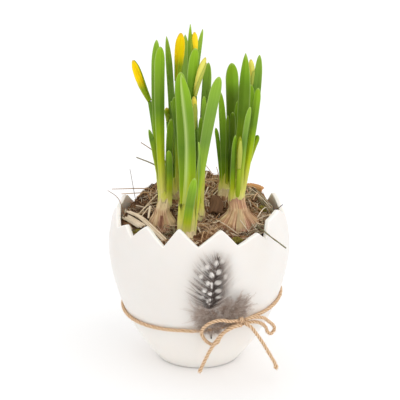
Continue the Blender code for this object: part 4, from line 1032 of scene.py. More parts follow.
for number, (solid, (centre, radius, height)) in enumerate(MOSS.items()):
    making = Making()
    draw = random.Random(number + 21)
    centre = Vector(centre)
    rings = []
    for level, reach in ((-0.9, 0.5), (-0.3, 0.85), (0.2, 0.9), (0.55, 0.66), (0.8, 0.25)):
        ring = []
        for k in range(24):
            lump = 1 + 0.1 * math.sin(k * 1.2 + level * 3)
            ring.append(centre + around(15 * k, radius * reach * lump, height * level))
        rings.append(ring)
    making.loft(rings, tint=0.1)
    for _ in range(FRONDS):
        spot = around(draw.uniform(0, 360), radius * math.sqrt(draw.random()), 0)
        share = spot.length / radius
        root = centre + spot * 0.92 + Vector((0, 0, height * (0.75 - 0.9 * share**2)))
        lean = spot * (0.1 / radius) + Vector((draw.uniform(-0.4, 0.4), draw.uniform(-0.4, 0.4), 1))
        tip = root + lean.normalized() * draw.uniform(0.8, 1.9)
        bend = root.lerp(tip, 0.5) + Vector((draw.uniform(-0.3, 0.3), draw.uniform(-0.3, 0.3), 0))
        bright = draw.uniform(0.4, 1.0)
        shades = [0.2] * 3 + [0.6 * bright] * 3 + [bright] * 3
        making.tube([root, bend, tip], (0.3, 0.26, 0.05), 3, tint=shades)
    make_piece("cushion_" + solid, making, moss_green, "moss", solid)


# The bulbs, half out of the mulch. Each is a fleshy bulb in a dry papery tunic
# that has split into ribbed brown and tan strips, pinkish where it is fresh, and
# has frayed at the neck where the shoot comes out.
bulb_skin, tree, shader = new_finish("papery bulb skin", 0.7, Specular_IOR_Level=0.15)
streaks = place_group(tree, fibre_streaks, Grain=mark_of(tree, "grain"), Fine=0.9, Long=0.06)
patches = place_group(tree, mottling, Broad=130.0, Fine=700.0)
brown = colour_run(
    tree,
    streaks["Streak"],
    ((0.0, rgb(130, 90, 62)), (0.45, rgb(204, 160, 118)), (1.0, rgb(242, 214, 172))),
)
pink = colour_run(
    tree,
    streaks["Streak"],
    ((0.0, rgb(132, 84, 68)), (0.5, rgb(198, 142, 116)), (1.0, rgb(234, 198, 168))),
)
blotched = math_of(tree, "MULTIPLY", mark_of(tree, "tone"), patches["Patch"])
colour = blend(tree, math_of(tree, "MULTIPLY", blotched, 1.4), brown, pink)
colour = blend(tree, mark_of(tree, "tint"), colour, rgb(240, 222, 172))
earthy = math_of(tree, "MULTIPLY", mark_of(tree, "rib"), patches["Patch"])
colour = blend(tree, earthy, colour, rgb(84, 58, 40))
tree.links.new(colour, shader.inputs["Base Color"])
raise_surface(tree, shader, streaks["Height"], 0.7, 0.5)

# Level and reach, from the base plate up. The last two are drawn in to the neck.
BULB_SHAPE = (
    (-0.95, 0.34),
    (-0.72, 0.72),
    (-0.3, 0.96),
    (0.1, 1.0),
    (0.45, 0.86),
    (0.76, 0.0),
    (1.0, 0.0),
)
# How fresh and pink a bulb's skin is, and how cream the torn skin at its neck.
FRESHNESS = {"bulb_left": 0.8, "bulb_right": 1.0}
OLD_SKIN = 0.35
NECK_CREAM = {"bulb_right": 0.1}
OLD_CREAM = 0.85
# The rows of the torn neck: how far they stand over the bulb's top, and how near the
# shoot they have come.
TORN_NECK = ((1.4, 0.45), (3.2, 0.85), (5.4, 1.0))
BULB_SIDES = 56
BULB_ROWS = 24
# Each loose strip starts and ends between these places of BULB_SHAPE, and its width
# lies between these two.
SKIN_STRIPS = 15
STRIP_FOOT = (2.4, 3.6)
STRIP_TOP = (5.3, 6.0)
STRIP_WIDTH = (2.4, 6.0)


def bulb_outline(radius, rise, neck):
    """Height above the bulb's middle and radius, from its base plate to its neck."""
    outline = []
    for level, reach in BULB_SHAPE:
        height = level * (radius if level < 0 else rise)
        if level > 0.7:
            reach = 0.3 + 0.6 * neck / radius if level < 0.9 else neck / radius
        outline.append(Vector((height, reach * radius, 0)))
    return outline


def peel_strip(making, draw, middle, outline, radius, strip, fresh):
    """A strip of the skin that has split off, tucked in below and loose at the neck."""
    x, y, z = middle
    angle = math.tau * (strip + draw.uniform(-0.3, 0.3)) / SKIN_STRIPS
    way = Vector((math.cos(angle), math.sin(angle), 0))
    low = draw.uniform(*STRIP_FOOT)
    high = draw.uniform(*STRIP_TOP)
    path = []
    for k in range(10):
        level = smooth_curve(outline, low + (high - low) * k / 9)
        loose = 0.2 + 0.3 * (k / 9) ** 3 * draw.random() - max(0.9 - 0.3 * k, 0.0)
        path.append(Vector((x, y, z + level.x)) + way * (level.y * 1.01 + loose))
    if high > 5.6:
        path.append(path[-1] + Vector((0, 0, draw.uniform(1.0, 2.6))) - way * draw.uniform(0.0, 0.8))
    across = Vector((-way.y, way.x, 0))
    width = draw.uniform(*STRIP_WIDTH)
    rings, grain = [], []
    for k, spot in enumerate(path):
        slim = math.sin(math.pi * min(0.25 + 0.75 * k / len(path), 1.0)) ** 0.6 + 0.05
        girth = math.hypot(spot.x - x, spot.y - y)
        slim *= min(girth / radius, 1.0)
        ring = []
        for u, off in ((-1, -0.1), (-0.4, 0.1), (0.4, 0.1), (1, -0.1), (0.4, 0.28), (-0.4, 0.28)):
            half = width / 2 * slim * u
            ring.append(spot + across * half + way * (off - half * half / (2 * girth)))
            grain.append((half + strip * 9, off, k * 1.3))
        rings.append(ring)
    pale = draw.choice((0.0, 0.0, 0.25, 0.5))
    making.loft(rings, grain, tint=pale, tone=fresh * draw.choice((0.0, 0.4, 0.8)), rib=0.25)


for number, (solid, (centre, radius, top, neck)) in enumerate(BULBS.items()):
    making = Making()
    draw = random.Random(number + 31)
    x, y, z = centre
    outline = bulb_outline(radius, top - z, neck)
    (foot_x, foot_y), across, deep, _, _ = SHEATHS[solid.replace("bulb", "shoot")]
    hug = 0.5 * (across + deep) + 0.25
    fresh = FRESHNESS.get(solid, OLD_SKIN)
    cream = NECK_CREAM.get(solid, OLD_CREAM)
    rings, grain, tint, tone, soiled = [], [], [], [], []
    for k in range(BULB_ROWS + 1):
        level = smooth_curve(outline, (len(outline) - 1) * k / BULB_ROWS)
        ring = []
        for n in range(BULB_SIDES):
            angle = math.tau * n / BULB_SIDES
            way = Vector((math.cos(angle), math.sin(angle), 0))
            fold = noise.noise(Vector((way.x * 4, way.y * 4, level.x * 0.05 + number)))
            fine = noise.noise(Vector((way.x * 13, way.y * 13, level.x * 0.08)))
            reach = level.y * (1 + 0.02 * math.cos(5 * angle) + 0.03 * fold + 0.018 * fine)
            ring.append(Vector((x, y, z + level.x)) + way * reach)
            grain.append((way.x * radius, way.y * radius, level.x + 60 * number))
            tint.append(0.5 * max(k / BULB_ROWS - 0.7, 0))
            tone.append(fresh * (0.5 + 0.5 * math.cos(angle + 2.2)))
            soiled.append(max(0.7 - k / 20, 0) + 0.15)
        rings.append(ring)
    for up, share in TORN_NECK:
        ring = []
        for n in range(BULB_SIDES):
            angle = math.tau * n / BULB_SIDES
            way = Vector((math.cos(angle), math.sin(angle), 0))
            torn = up * (1 + 0.3 * math.sin(5 * angle + number) + 0.2 * math.sin(11 * angle))
            reach = neck + (hug - neck) * share
            spot = Vector((x, y, top + torn)) + way * reach
            ring.append(spot + Vector((foot_x - x, foot_y - y, 0)) * share)
            grain.append((way.x * radius, way.y * radius, top - z + up + 60 * number))
            tint.append(cream * (0.6 + 0.4 * share))
            tone.append(fresh)
            soiled.append(0.1)
        rings.append(ring)
    making.loft(rings, grain, tint=tint, tone=tone, rib=soiled)
    for strip in range(SKIN_STRIPS):
        peel_strip(making, draw, centre, outline, radius, strip, fresh)
    make_piece("tunic_" + solid, making, bulb_skin, "bulb", solid, crease=60)


# The shoots. Each is a clump of strap leaves and flower stalks in a pale papery
# sheath that grows out of its bulb. A leaf is fleshy, channelled along its
# middle, cream where it was underground, then green, with a blunt pale tip.

# Each leaf: its root, middle and tip, its width, the way that it faces, how wide
# its root is as a share of that width, and the length of its tip.
SHOOT_LEAVES = {
    "shoot_left": (
        ((-25.8, 1.4, 114.0), (-27.7, 0.0, 178.6), (-27.0, -2.0, 232.0), 7.7, 200.0, 0.66, 15.0),
        ((-26.8, 5.8, 114.0), (-30.1, 8.0, 176.6), (-29.8, 9.0, 234.7), 7.1, -22.0, 0.7, 20.0),
        ((-26.4, 4.0, 114.0), (-30.6, 3.6, 145.8), (-35.8, 2.0, 171.1), 4.6, 40.0, 0.8, 14.0),
        ((-23.2, 4.0, 114.0), (-21.9, 4.0, 149.5), (-20.0, 3.0, 178.6), 5.4, 25.0, 0.8, 13.0),
        ((-22.2, 1.2, 114.0), (-21.0, -2.0, 138.5), (-21.7, -2.0, 156.7), 4.8, 160.0, 1.0, 8.0),
    ),
    "shoot_back": (
        ((-18.2, 29.4, 113.2), (-20.0, 29.0, 178.7), (-23.3, 26.0, 233.7), 5.6, 32.0, 0.8, 30.0),
        ((-15.4, 29.6, 113.2), (-11.4, 32.0, 178.0), (-9.9, 31.0, 234.1), 7.4, 24.0, 0.6, 28.0),
        ((-15.9, 25.4, 113.2), (-14.9, 21.0, 158.3), (-17.8, 19.0, 190.8), 6.8, 158.0, 0.7, 14.0),
        ((-17.0, 25.2, 113.2), (-16.5, 24.0, 157.5), (-20.2, 23.0, 186.9), 3.0, 30.0, 0.8, 10.0),
    ),
    "shoot_front": (
        ((-9.4, -27.4, 101.4), (-6.0, -22.0, 165.5), (-12.3, -18.0, 215.7), 7.8, 196.0, 1.2, 30.0),
        ((-9.8, -25.8, 101.4), (-10.9, -14.0, 163.0), (-12.7, -11.4, 215.9), 9.2, -20.0, 0.7, 16.0),
        ((-9.4, -32.6, 103.6), (-6.6, -35.4, 125.7), (-2.9, -33.0, 145.3), 6.3, 165.0, 1.0, 13.0),
        ((-4.4, -26.2, 101.4), (4.0, -19.0, 163.0), (14.1, -17.0, 213.9), 8.6, 202.0, 0.5, 16.0),
        ((-3.4, -29.4, 101.4), (0.0, -28.0, 142.0), (-0.2, -27.0, 169.7), 2.4, 60.0, 1.0, 10.0),
    ),
    "shoot_middle": (
        ((-3.0, 2.2, 105.2), (-6.4, 4.4, 182.0), (-6.1, 6.0, 246.3), 4.7, 40.0, 0.8, 30.0),
        ((-1.8, 3.6, 105.2), (-4.8, 8.6, 180.0), (2.7, 10.0, 242.2), 4.4, 25.0, 0.8, 24.0),
        ((-2.9, -1.0, 105.2), (-6.1, -4.0, 178.0), (-2.2, -4.0, 231.3), 7.0, 198.0, 0.7, 14.0),
        ((0.6, 1.6, 105.2), (3.5, 2.4, 168.0), (6.8, 2.0, 219.8), 7.2, -28.0, 0.6, 18.0),
        ((1.0, -1.2, 105.2), (2.9, -3.6, 156.0), (3.4, -4.4, 197.1), 4.4, 30.0, 0.9, 11.0),
        ((-0.6, -2.6, 105.2), (-0.2, -9.6, 150.0), (1.3, -10.0, 183.1), 3.4, 30.0, 0.9, 10.0),
    ),
    "shoot_right": (
        ((26.6, 4.2, 116.0), (30.9, 5.0, 173.7), (32.9, 4.0, 226.2), 8.9, 160.0, 0.6, 34.0),
        ((29.4, 5.6, 116.0), (38.8, 11.0, 172.1), (43.0, 12.0, 223.2), 6.4, -26.0, 0.7, 20.0),
        ((30.0, 3.4, 116.0), (37.3, 2.6, 163.1), (41.9, 2.6, 201.2), 5.3, 160.0, 0.8, 11.0),
        ((29.0, 6.0, 116.0), (35.6, 7.4, 162.3), (36.6, 6.6, 202.9), 6.0, 30.0, 0.7, 12.0),
        ((30.0, 0.8, 116.0), (31.7, -2.0, 155.6), (36.2, -3.0, 188.9), 4.4, 205.0, 0.9, 12.0),
        ((29.4, 6.4, 116.6), (35.2, 8.0, 144.6), (42.5, 5.0, 166.1), 4.6, 150.0, 0.7, 6.0),
        ((24.4, 1.0, 116.0), (24.3, -3.6, 142.8), (25.8, -4.0, 168.5), 3.7, 205.0, 1.2, 12.0),
    ),
    "shoot_right_back": (
        ((18.4, 33.0, 114.0), (17.9, 31.0, 148.0), (15.7, 30.0, 191.9), 5.9, 30.0, 0.8, 18.0),
        ((17.2, 34.0, 114.0), (14.9, 35.0, 143.0), (12.2, 34.0, 164.1), 3.4, 30.0, 0.9, 9.0),
        ((22.4, 31.8, 114.0), (24.0, 25.6, 149.6), (24.3, 24.4, 178.3), 4.4, 155.0, 0.9, 7.0),
        ((20.4, 31.6, 114.0), (21.0, 27.6, 147.0), (20.8, 26.6, 175.4), 2.9, 205.0, 1.0, 9.0),
        ((22.2, 34.8, 114.0), (24.9, 35.0, 165.9), (23.6, 34.0, 212.6), 10.2, 200.0, 0.6, 15.0),
        ((23.6, 33.0, 114.0), (28.6, 29.0, 148.5), (28.6, 27.0, 186.5), 7.5, -25.0, 0.6, 15.0),
    ),
}
# Each stalk: its root, middle and top.
FLOWER_STALKS = {
    "shoot_left": (
        ((-26.0, 5.6, 114.0), (-30.8, 11.4, 156.3), (-35.4, 13.0, 189.0)),
    ),
    "shoot_back": (
        ((-16.6, 27.2, 113.2), (-16.8, 25.6, 160.0), (-16.0, 25.0, 201.0)),
        ((-18.4, 26.4, 113.2), (-20.8, 26.0, 146.0), (-22.6, 24.5, 171.0)),
    ),
    "shoot_front": (),
    "shoot_middle": (
        ((-1.4, 1.2, 105.2), (-2.4, 0.8, 166.0), (-3.3, 0.8, 220.4)),
        ((0.6, -0.8, 105.2), (-1.2, -5.6, 152.0), (-3.1, -6.0, 197.2)),
        ((-2.0, -2.2, 105.2), (-3.1, -9.0, 146.0), (-3.4, -9.6, 174.1)),
    ),
    "shoot_right": (
        ((28.8, 6.2, 116.0), (35.1, 12.4, 160.0), (37.7, 14.0, 200.1)),
        ((27.4, 1.0, 116.0), (28.2, -2.6, 131.5), (28.6, -4.2, 143.6)),
    ),
    "shoot_right_back": (),
}
STALK_RADIUS = 1.55
STALK_ROWS = 28
STALK_SIDES = 12
LEAF_ROWS = 30
LEAF_TIP_ROWS = 12
LEAF_ACROSS = (-1.0, -0.93, -0.76, -0.5, -0.22, 0.0, 0.22, 0.5, 0.76, 0.93, 1.0)
LEAF_FOLD = 0.17
LEAF_BLUNT = 12.0
SHEATH_ROWS = 14
SHEATH_SIDES = 40
# How each leaf looks: how dark its shaded part is and where that ends, its grey
# bloom, and how far up it turns green.
LEAF_LOOKS = {
    "shoot_left": (
        (0.15, 0.7, 0.1, 0.43),
        (0.1, 0.7, 0.15, 0.43),
        (0.0, 0.5, 0.2, 0.78),
        (0.35, 1.0, 0.0, 0.39),
        (0.4, 1.0, 0.1, 0.45),
    ),
    "shoot_back": (
        (0.0, 1.0, 0.35, 0.36),
        (0.0, 0.4, 0.45, 0.36),
        (0.2, 0.9, 0.0, 0.43),
        (0.15, 0.9, 0.1, 0.45),
    ),
    "shoot_front": (
        (0.0, 0.6, 0.15, 0.36),
        (0.0, 0.5, 0.0, 0.26),
        (0.0, 0.4, 0.2, 0.34),
        (0.0, 0.5, 0.35, 0.39),
        (0.1, 0.8, 0.15, 0.45),
    ),
    "shoot_middle": (
        (0.0, 0.8, 0.1, 0.33),
        (0.0, 0.6, 0.3, 0.33),
        (0.0, 0.6, 0.15, 0.33),
        (0.0, 0.7, 0.3, 0.59),
        (0.0, 0.9, 0.1, 0.65),
        (0.4, 1.0, 0.0, 0.39),
    ),
    "shoot_right": (
        (0.35, 0.8, 0.0, 0.45),
        (0.0, 0.9, 0.3, 0.45),
        (0.0, 0.9, 0.1, 0.52),
        (0.2, 1.0, 0.0, 0.45),
        (0.0, 0.8, 0.4, 0.45),
        (0.0, 0.9, 0.0, 0.98),
        (0.4, 1.0, 0.3, 0.39),
    ),
    "shoot_right_back": (
        (0.15, 1.0, 0.1, 0.26),
        (0.2, 1.0, 0.2, 0.26),
        (0.9, 1.0, 0.0, 0.26),
        (0.5, 1.0, 0.0, 0.26),
        (0.9, 0.78, 0.0, 0.26),
        (0.2, 1.0, 0.0, 0.33),
    ),
}

# One front leaf has a painted highlight: a pale streak beside its edge, where its fold catches the light.
HIGHLIGHTED_LEAF = ("shoot_front", 0)
FOLD_HIGHLIGHT = 0.75

leaf_green, tree, shader = new_finish("daffodil leaf", 0.5, Specular_IOR_Level=0.08)
streaks = place_group(tree, fibre_streaks, Grain=mark_of(tree, "grain"), Fine=1.5, Long=0.012)
patches = place_group(tree, mottling, Broad=45.0, Fine=1500.0)
# Leaf colour from root to tip: cream, yellow green, darkest green at mid-length, then brighter again;
# that brightening towards the tip is a painted glow, for light shining through the tips.
LEAF_COLOURS_AND_TIP_GLOW = (
    (0.0, rgb(250, 238, 186)),
    (0.08, rgb(238, 230, 118)),
    (0.2, rgb(198, 210, 36)),
    (0.33, rgb(146, 182, 24)),
    (0.5, rgb(104, 142, 40)),
    (0.7, rgb(116, 156, 40)),
    (0.87, rgb(136, 180, 40)),
    (1.0, rgb(150, 192, 36)),
)
colour = colour_run(tree, mark_of(tree, "tint"), LEAF_COLOURS_AND_TIP_GLOW)
bloom = math_of(tree, "MULTIPLY", math_of(tree, "MAXIMUM", mark_of(tree, "tone"), 0.0), 0.7)
colour = blend(tree, bloom, colour, rgb(164, 190, 122))
shaded = math_of(tree, "MULTIPLY", math_of(tree, "MINIMUM", mark_of(tree, "tone"), 0.0), -0.8)
colour = blend(tree, shaded, colour, rgb(52, 74, 6))
veins = math_of(tree, "MULTIPLY", math_of(tree, "SUBTRACT", 1.0, streaks["Streak"]), 0.26)
colour = blend(tree, veins, colour, rgb(74, 108, 14))
colour = blend(tree, math_of(tree, "MULTIPLY", patches["Patch"], 0.14), colour, rgb(178, 200, 60))
# The rib mark paints the pale tips, and painted highlights along the leaf edges and on one leaf's fold.
colour = blend(tree, mark_of(tree, "rib"), colour, rgb(198, 214, 140))
tree.links.new(colour, shader.inputs["Base Color"])
raise_surface(tree, shader, streaks["Height"], 0.35, 0.3)


def along_three(start, middle, end, t):
    """The point at t on the parabola through three points at t = 0, a half and 1."""
    return (
        Vector(start) * (2 * t * t - 3 * t + 1)
        + Vector(middle) * (4 * t - 4 * t * t)
        + Vector(end) * (2 * t * t - t)
    )


def grow_leaf(making, leaf, look, number, streak):
    """A strap leaf: a channelled blade that bends from its root to its blunt tip."""
    root, middle, tip, width, face, root_ratio, tip_length = leaf
    shaded, open_from, bloom, green_from = look
    length = (Vector(middle) - Vector(root)).length + (Vector(tip) - Vector(middle)).length
    tip_start = 1 - tip_length / length
    pointed = 0.5 + 0.01 * max(tip_length - LEAF_BLUNT, 0)
    steps = [tip_start * k / LEAF_ROWS for k in range(LEAF_ROWS)]
    for k in range(LEAF_TIP_ROWS + 1):
        steps.append(tip_start + (1 - tip_start) * math.sin(0.5 * math.pi * k / LEAF_TIP_ROWS) ** 0.9)
    facing = around(face, 1.0, 0.0)
    rings, grain, shade, tone, ribs = [], [], [], [], []
    for t in steps:
        centre = along_three(root, middle, tip, t)
        tangent = along_three(root, middle, tip, t + 0.01) - centre
        side = tangent.cross(facing).normalized()
        front = side.cross(tangent).normalized()
        widen = min(t / (0.85 * tip_start), 1.0)
        half = 0.5 * width * (root_ratio + (1 - root_ratio) * widen * widen * (3 - 2 * widen))
        over = min(max(t - tip_start, 0) / (1 - tip_start), 1.0)
        half = max(half * (1 - over**2) ** pointed, 0.16)
        half *= 1 + 0.02 * noise.noise(Vector((t * 9, number, 0.0)))
        thick = 1.75 - 0.85 * t - 0.35 * over
        fold = LEAF_FOLD * half * 2 * (1 - 0.5 * over)
        run = t * length
        # tint runs up the leaf; towards the tip it carries the painted glow.
        hue = 0.33 * min(t / green_from, 1.0) + 0.67 * max((t - green_from) / (1 - green_from), 0.0)
        dusk = shaded * min(max((open_from - t) / 0.12 + 0.5, 0.0), 1.0) * min(t / 0.25, 1.0)
        ring = []
        for back, order in ((1, LEAF_ACROSS), (0, LEAF_ACROSS[::-1])):
            for u in order:
                depth = 0.12 + (thick / 2 - 0.12) * math.sqrt(1 - min(u * u, 1.0))
                depth += 0.22 * math.exp(-((u / 0.16) ** 2)) * back
                rise = fold * (math.sqrt(u * u + 0.015) - 0.5)
                wave = 0.25 * noise.noise(Vector((t * 7, u * 0.8, number + 0.5)))
                spot = centre + side * (u * half) + front * (rise + wave)
                ring.append(spot - front * depth if back else spot + front * depth)
                grain.append((u * half + number * 17, 2.0 * back, run))
                shade.append(hue)
                tone.append(bloom - dusk - 0.12 * back)
                # The pale streak is the painted highlight on the fold.
                pale = streak * math.exp(-(((u - 0.72) / 0.2) ** 2)) * min(t / 0.3, 1.0)
                # A painted highlight along both edges of the leaf.
                painted_rim_highlight = 0.5 * max(abs(u) - 0.9, 0.0) / 0.1
                ribs.append(max(0.5 * (over - 0.85) / 0.15, pale, painted_rim_highlight, 0.0))
        rings.append(ring)
    making.loft(rings, grain, tint=shade, tone=tone, rib=ribs)


for count, (solid, leaves) in enumerate(SHOOT_LEAVES.items()):
    making = Making()
    for number, (leaf, look) in enumerate(zip(leaves, LEAF_LOOKS[solid])):
        streak = FOLD_HIGHLIGHT if (solid, number) == HIGHLIGHTED_LEAF else 0.0
        grow_leaf(making, leaf, look, 10 * count + number, streak)
    for stalk in FLOWER_STALKS[solid]:
        path = [along_three(*stalk, k / STALK_ROWS) for k in range(STALK_ROWS + 1)]
        radii = [STALK_RADIUS * (1.15 - 0.25 * k / STALK_ROWS) for k in range(STALK_ROWS + 1)]
        greenest = min(0.6, 0.01 * (path[-1] - path[0]).length)
        shades = []
        for k in range(STALK_ROWS + 1):
            shades += [min(0.02 + 0.6 * k / 11, greenest)] * STALK_SIDES
        making.tube(path, radii, STALK_SIDES, 0.85, start=count * 31, tint=shades, tone=0.1)
    (x, y), across, deep, base, height = SHEATHS[solid]
    deep *= 0.72 if solid == "shoot_front" else 1.0
    rings, grain, shade = [], [], []
    for k in range(SHEATH_ROWS + 1):
        level = k / SHEATH_ROWS
        scale = 0.9 + 0.1 * min(level / 0.3, 1) - 0.42 * max(level - 0.4, 0) ** 1.3
        ring = []
        for n in range(SHEATH_SIDES):
            angle = math.tau * n / SHEATH_SIDES
            rib = 1 + 0.02 * math.sin(11 * angle) + 0.03 * math.sin(3 * angle + count)
            torn = 1 + (0.26 * math.sin(2 * angle + count) + 0.12 * math.sin(9 * angle)) * level
            reach = scale * rib
            spot = Vector((across * reach * math.cos(angle), deep * reach * math.sin(angle), 0))
            ring.append(Vector((x, y, base + height * level * torn)) + spot)
            grain.append((spot.x * 1.5, spot.y * 1.5, height * level))
            shade.append(0.01 + 0.13 * level**1.5)
        rings.append(ring)
    making.loft(rings, grain, tint=shade)
    make_piece("leaves_" + solid, making, leaf_green, "leaf", solid)


# The flower buds. Each is a slim spindle of three wrapped petals, green at its
# foot and yellow above, still held along one side by its thin green spathe. It
# grows out of the top of its stalk.

# Each bud: the top of its stalk, its middle and its tip, then its radius, where it
# turns from green to yellow, how pale it is, where its spathe lies and how long
# that is. One that turns past 1 is green all over.
PETAL_BUDS = {
    "bud_left": (
        ((-35.4, 13.0, 189.0), (-41.7, 13.0, 203.3), (-47.0, 13.0, 219.0)),
        (2.8, 0.34, 0.0, 115, 1.0),
    ),
    "bud_tall": (
        ((-16.0, 25.0, 201.0), (-14.2, 25.0, 218.8), (-12.9, 25.0, 236.3)),
        (3.6, 0.32, 0.0, 150, 0.35),
    ),
    "bud_small_back": (
        ((-22.6, 24.5, 171.0), (-23.0, 24.2, 176.6), (-23.6, 24.0, 181.8)),
        (1.9, 0.8, 0.3, 20, 0.6),
    ),
    "bud_middle": (
        ((-3.3, 0.8, 220.4), (-3.1, 0.8, 231.1), (-3.1, 0.8, 241.8)),
        (2.3, 0.05, 0.1, -80, 0.95),
    ),
    "bud_spathe": (
        ((-3.1, -6.0, 197.2), (0.0, -6.0, 211.2), (4.6, -6.0, 225.1)),
        (2.3, 0.05, 0.85, 60, 0.9),
    ),
    "bud_small_front": (
        ((-3.4, -9.6, 174.1), (-3.4, -9.6, 186.9), (-3.6, -9.6, 198.1)),
        (2.2, 0.0, 0.5, 20, 0.8),
    ),
    "bud_right": (
        ((37.7, 14.0, 200.1), (37.6, 14.0, 210.3), (36.8, 14.0, 219.5)),
        (2.1, 0.0, 0.75, 40, 0.6),
    ),
    "bud_small_right": (
        ((28.6, -4.2, 143.6), (28.9, -5.2, 156.0), (29.2, -5.2, 167.8)),
        (1.7, 1.5, 0.75, 10, 0.9),
    ),
}
# Height and radius, as shares, from the foot to the tip.
BUD_SHAPE = (
    (0.0, 0.5),
    (0.1, 0.62),
    (0.28, 0.78),
    (0.48, 0.94),
    (0.68, 1.0),
    (0.85, 0.86),
    (0.96, 0.5),
    (1.0, 0.2),
)
BUD_ROWS = 28
BUD_SIDES = 36
SPATHE_HALF = math.radians(75)
BUD_CLEARANCE = 0.4

petal, tree, shader = new_finish("daffodil petal", 0.55, Specular_IOR_Level=0.06)
streaks = place_group(tree, fibre_streaks, Grain=mark_of(tree, "grain"), Fine=2.2, Long=0.05)
yellow = colour_run(
    tree,
    streaks["Streak"],
    ((0.0, rgb(248, 190, 4)), (0.5, rgb(254, 218, 6)), (1.0, rgb(255, 232, 24))),
)
yellow = blend(tree, mark_of(tree, "tone"), yellow, rgb(228, 228, 120))
green = colour_run(
    tree,
    streaks["Streak"],
    ((0.0, rgb(104, 130, 16)), (0.5, rgb(134, 158, 22)), (1.0, rgb(170, 186, 46))),
)
colour = blend(tree, mark_of(tree, "tint"), green, yellow)
# Painted shade, deeper orange, where each petal lies under the edge of the one over it.
colour = blend(tree, math_of(tree, "MULTIPLY", mark_of(tree, "edge"), 0.5), colour, rgb(226, 160, 20))
colour = blend(tree, mark_of(tree, "rib"), colour, rgb(170, 140, 86))
tree.links.new(colour, shader.inputs["Base Color"])
raise_surface(tree, shader, streaks["Height"], 0.3, 0.2)

for number, (solid, ((top, middle, tip), look)) in enumerate(PETAL_BUDS.items()):
    radius, green_foot, pale, spathe_at, spathe_long = look
    making = Making()
    start = Vector(top) + (Vector(middle) - Vector(top)).normalized() * BUD_CLEARANCE
    knots = [Vector((t, scale, 0)) for t, scale in BUD_SHAPE]
    rows = []
    for k in range(BUD_ROWS + 1):
        t = k / BUD_ROWS
        i = max(j for j in range(len(knots) - 1) if knots[j].x <= t)
        f = (t - knots[i].x) / (knots[i + 1].x - knots[i].x)
        rows.append((t, smooth_curve(knots, i + f).y))
    path = [along_three(start, middle, tip, t) for t, _ in rows]
    frames = frames_along(path)
    rings, grain, shade, painted_lap_shade, dry = [], [], [], [], []
    for (t, scale), centre, (_, side, up) in zip(rows, path, frames):
        ring = []
        for n in range(BUD_SIDES):
            angle = math.tau * n / BUD_SIDES
            wrap = (3 * n / BUD_SIDES + 0.5 * t + number * 0.37) % 1.0
            reach = radius * scale * (0.95 + 0.11 * wrap + 0.02 * math.sin(9 * angle))
            ring.append(centre + side * (reach * math.cos(angle)) + up * (reach * math.sin(angle)))
            grain.append((math.cos(angle) * radius, math.sin(angle) * radius, t * 20 + 50 * number))
            shade.append(min(max((t - green_foot) / 0.25, 0.0), 1.0))
            painted_lap_shade.append(max(1 - wrap * 5, 0.0))
            dry.append(max((t - 0.93) / 0.07, 0.0) * 0.4)
        rings.append(ring)
    making.loft(rings, grain, tint=shade, tone=pale, edge=painted_lap_shade, rib=dry)
    outward = around(spathe_at, 1.0, 0.0)
    rings, grain = [], []
    last = int(BUD_ROWS * spathe_long)
    for k in range(last + 1):
        (t, scale), centre, (tangent, _, _) = rows[k], path[k], frames[k]
        out = (outward - tangent * outward.dot(tangent)).normalized()
        across = tangent.cross(out)
        spread = SPATHE_HALF * (1 - 0.75 * (k / last) ** 2)
        ring = []
        for thick, order in ((0.12, range(9)), (0.4, range(8, -1, -1))):
            for n in order:
                angle = spread * (n / 4 - 1)
                reach = radius * scale * 1.06 + thick
                ring.append(centre + (out * math.cos(angle) + across * math.sin(angle)) * reach)
                grain.append((angle * 3 + 20 * number, thick, t * 20))
        rings.append(ring)
    making.loft(rings, grain, tint=0.6 * pale, tone=1.0, rib=0.1 * pale)
    make_piece("petals_" + solid, making, petal, "petal", solid)


# The twine's band and knot. One turn of the same jute goes round the pot below
# its belly, sagging to the left, and is pulled up where it is tied. The knot is
# two tight turns over the crossing.
BAND_HEIGHT = 45.2
BAND_TILT = 6.7
BAND_TILT_FROM = 37.6
BAND_LIFT = 3.0
BAND_LIFT_MIDDLE = 15.0
BAND_PULL = 2.2
BAND_REACH = 32.0
BAND_POINTS = 620
KNOT_AZIMUTH = 27.0
KNOT_HEIGHT = 48.0
KNOT_OFF = 6.5


def band_point(azimuth):
    """The band's middle at an azimuth: it rises to the knot and stands off the feather."""

    def bulge(middle):
        away = min(abs(azimuth - middle) / BAND_REACH, 1.0)
        return 0.5 * (1 + math.cos(math.pi * away))

    height = BAND_HEIGHT + BAND_TILT * math.sin(math.radians(azimuth - BAND_TILT_FROM))
    height += BAND_PULL * bulge(KNOT_AZIMUTH)
    lift = BAND_LIFT * bulge(BAND_LIFT_MIDDLE)
    return on_pot(azimuth, height, TWINE_RADIUS * 1.08 + 0.1 + lift)


path = [band_point(-180 + 360 * k / BAND_POINTS) for k in range(BAND_POINTS)]
frames = []
for k, spot in enumerate(path):
    tangent = (path[(k + 1) % BAND_POINTS] - path[k - 1]).normalized()
    outward = Vector((spot.x, spot.y, 0)).normalized()
    up = tangent.cross(outward).normalized()
    frames.append((tangent, up.cross(tangent), up))
making = Making()
lay_twine(making, path, 7, frames=frames, closed=True)
make_piece("jute_band", making, jute, "twine", "twine_band")

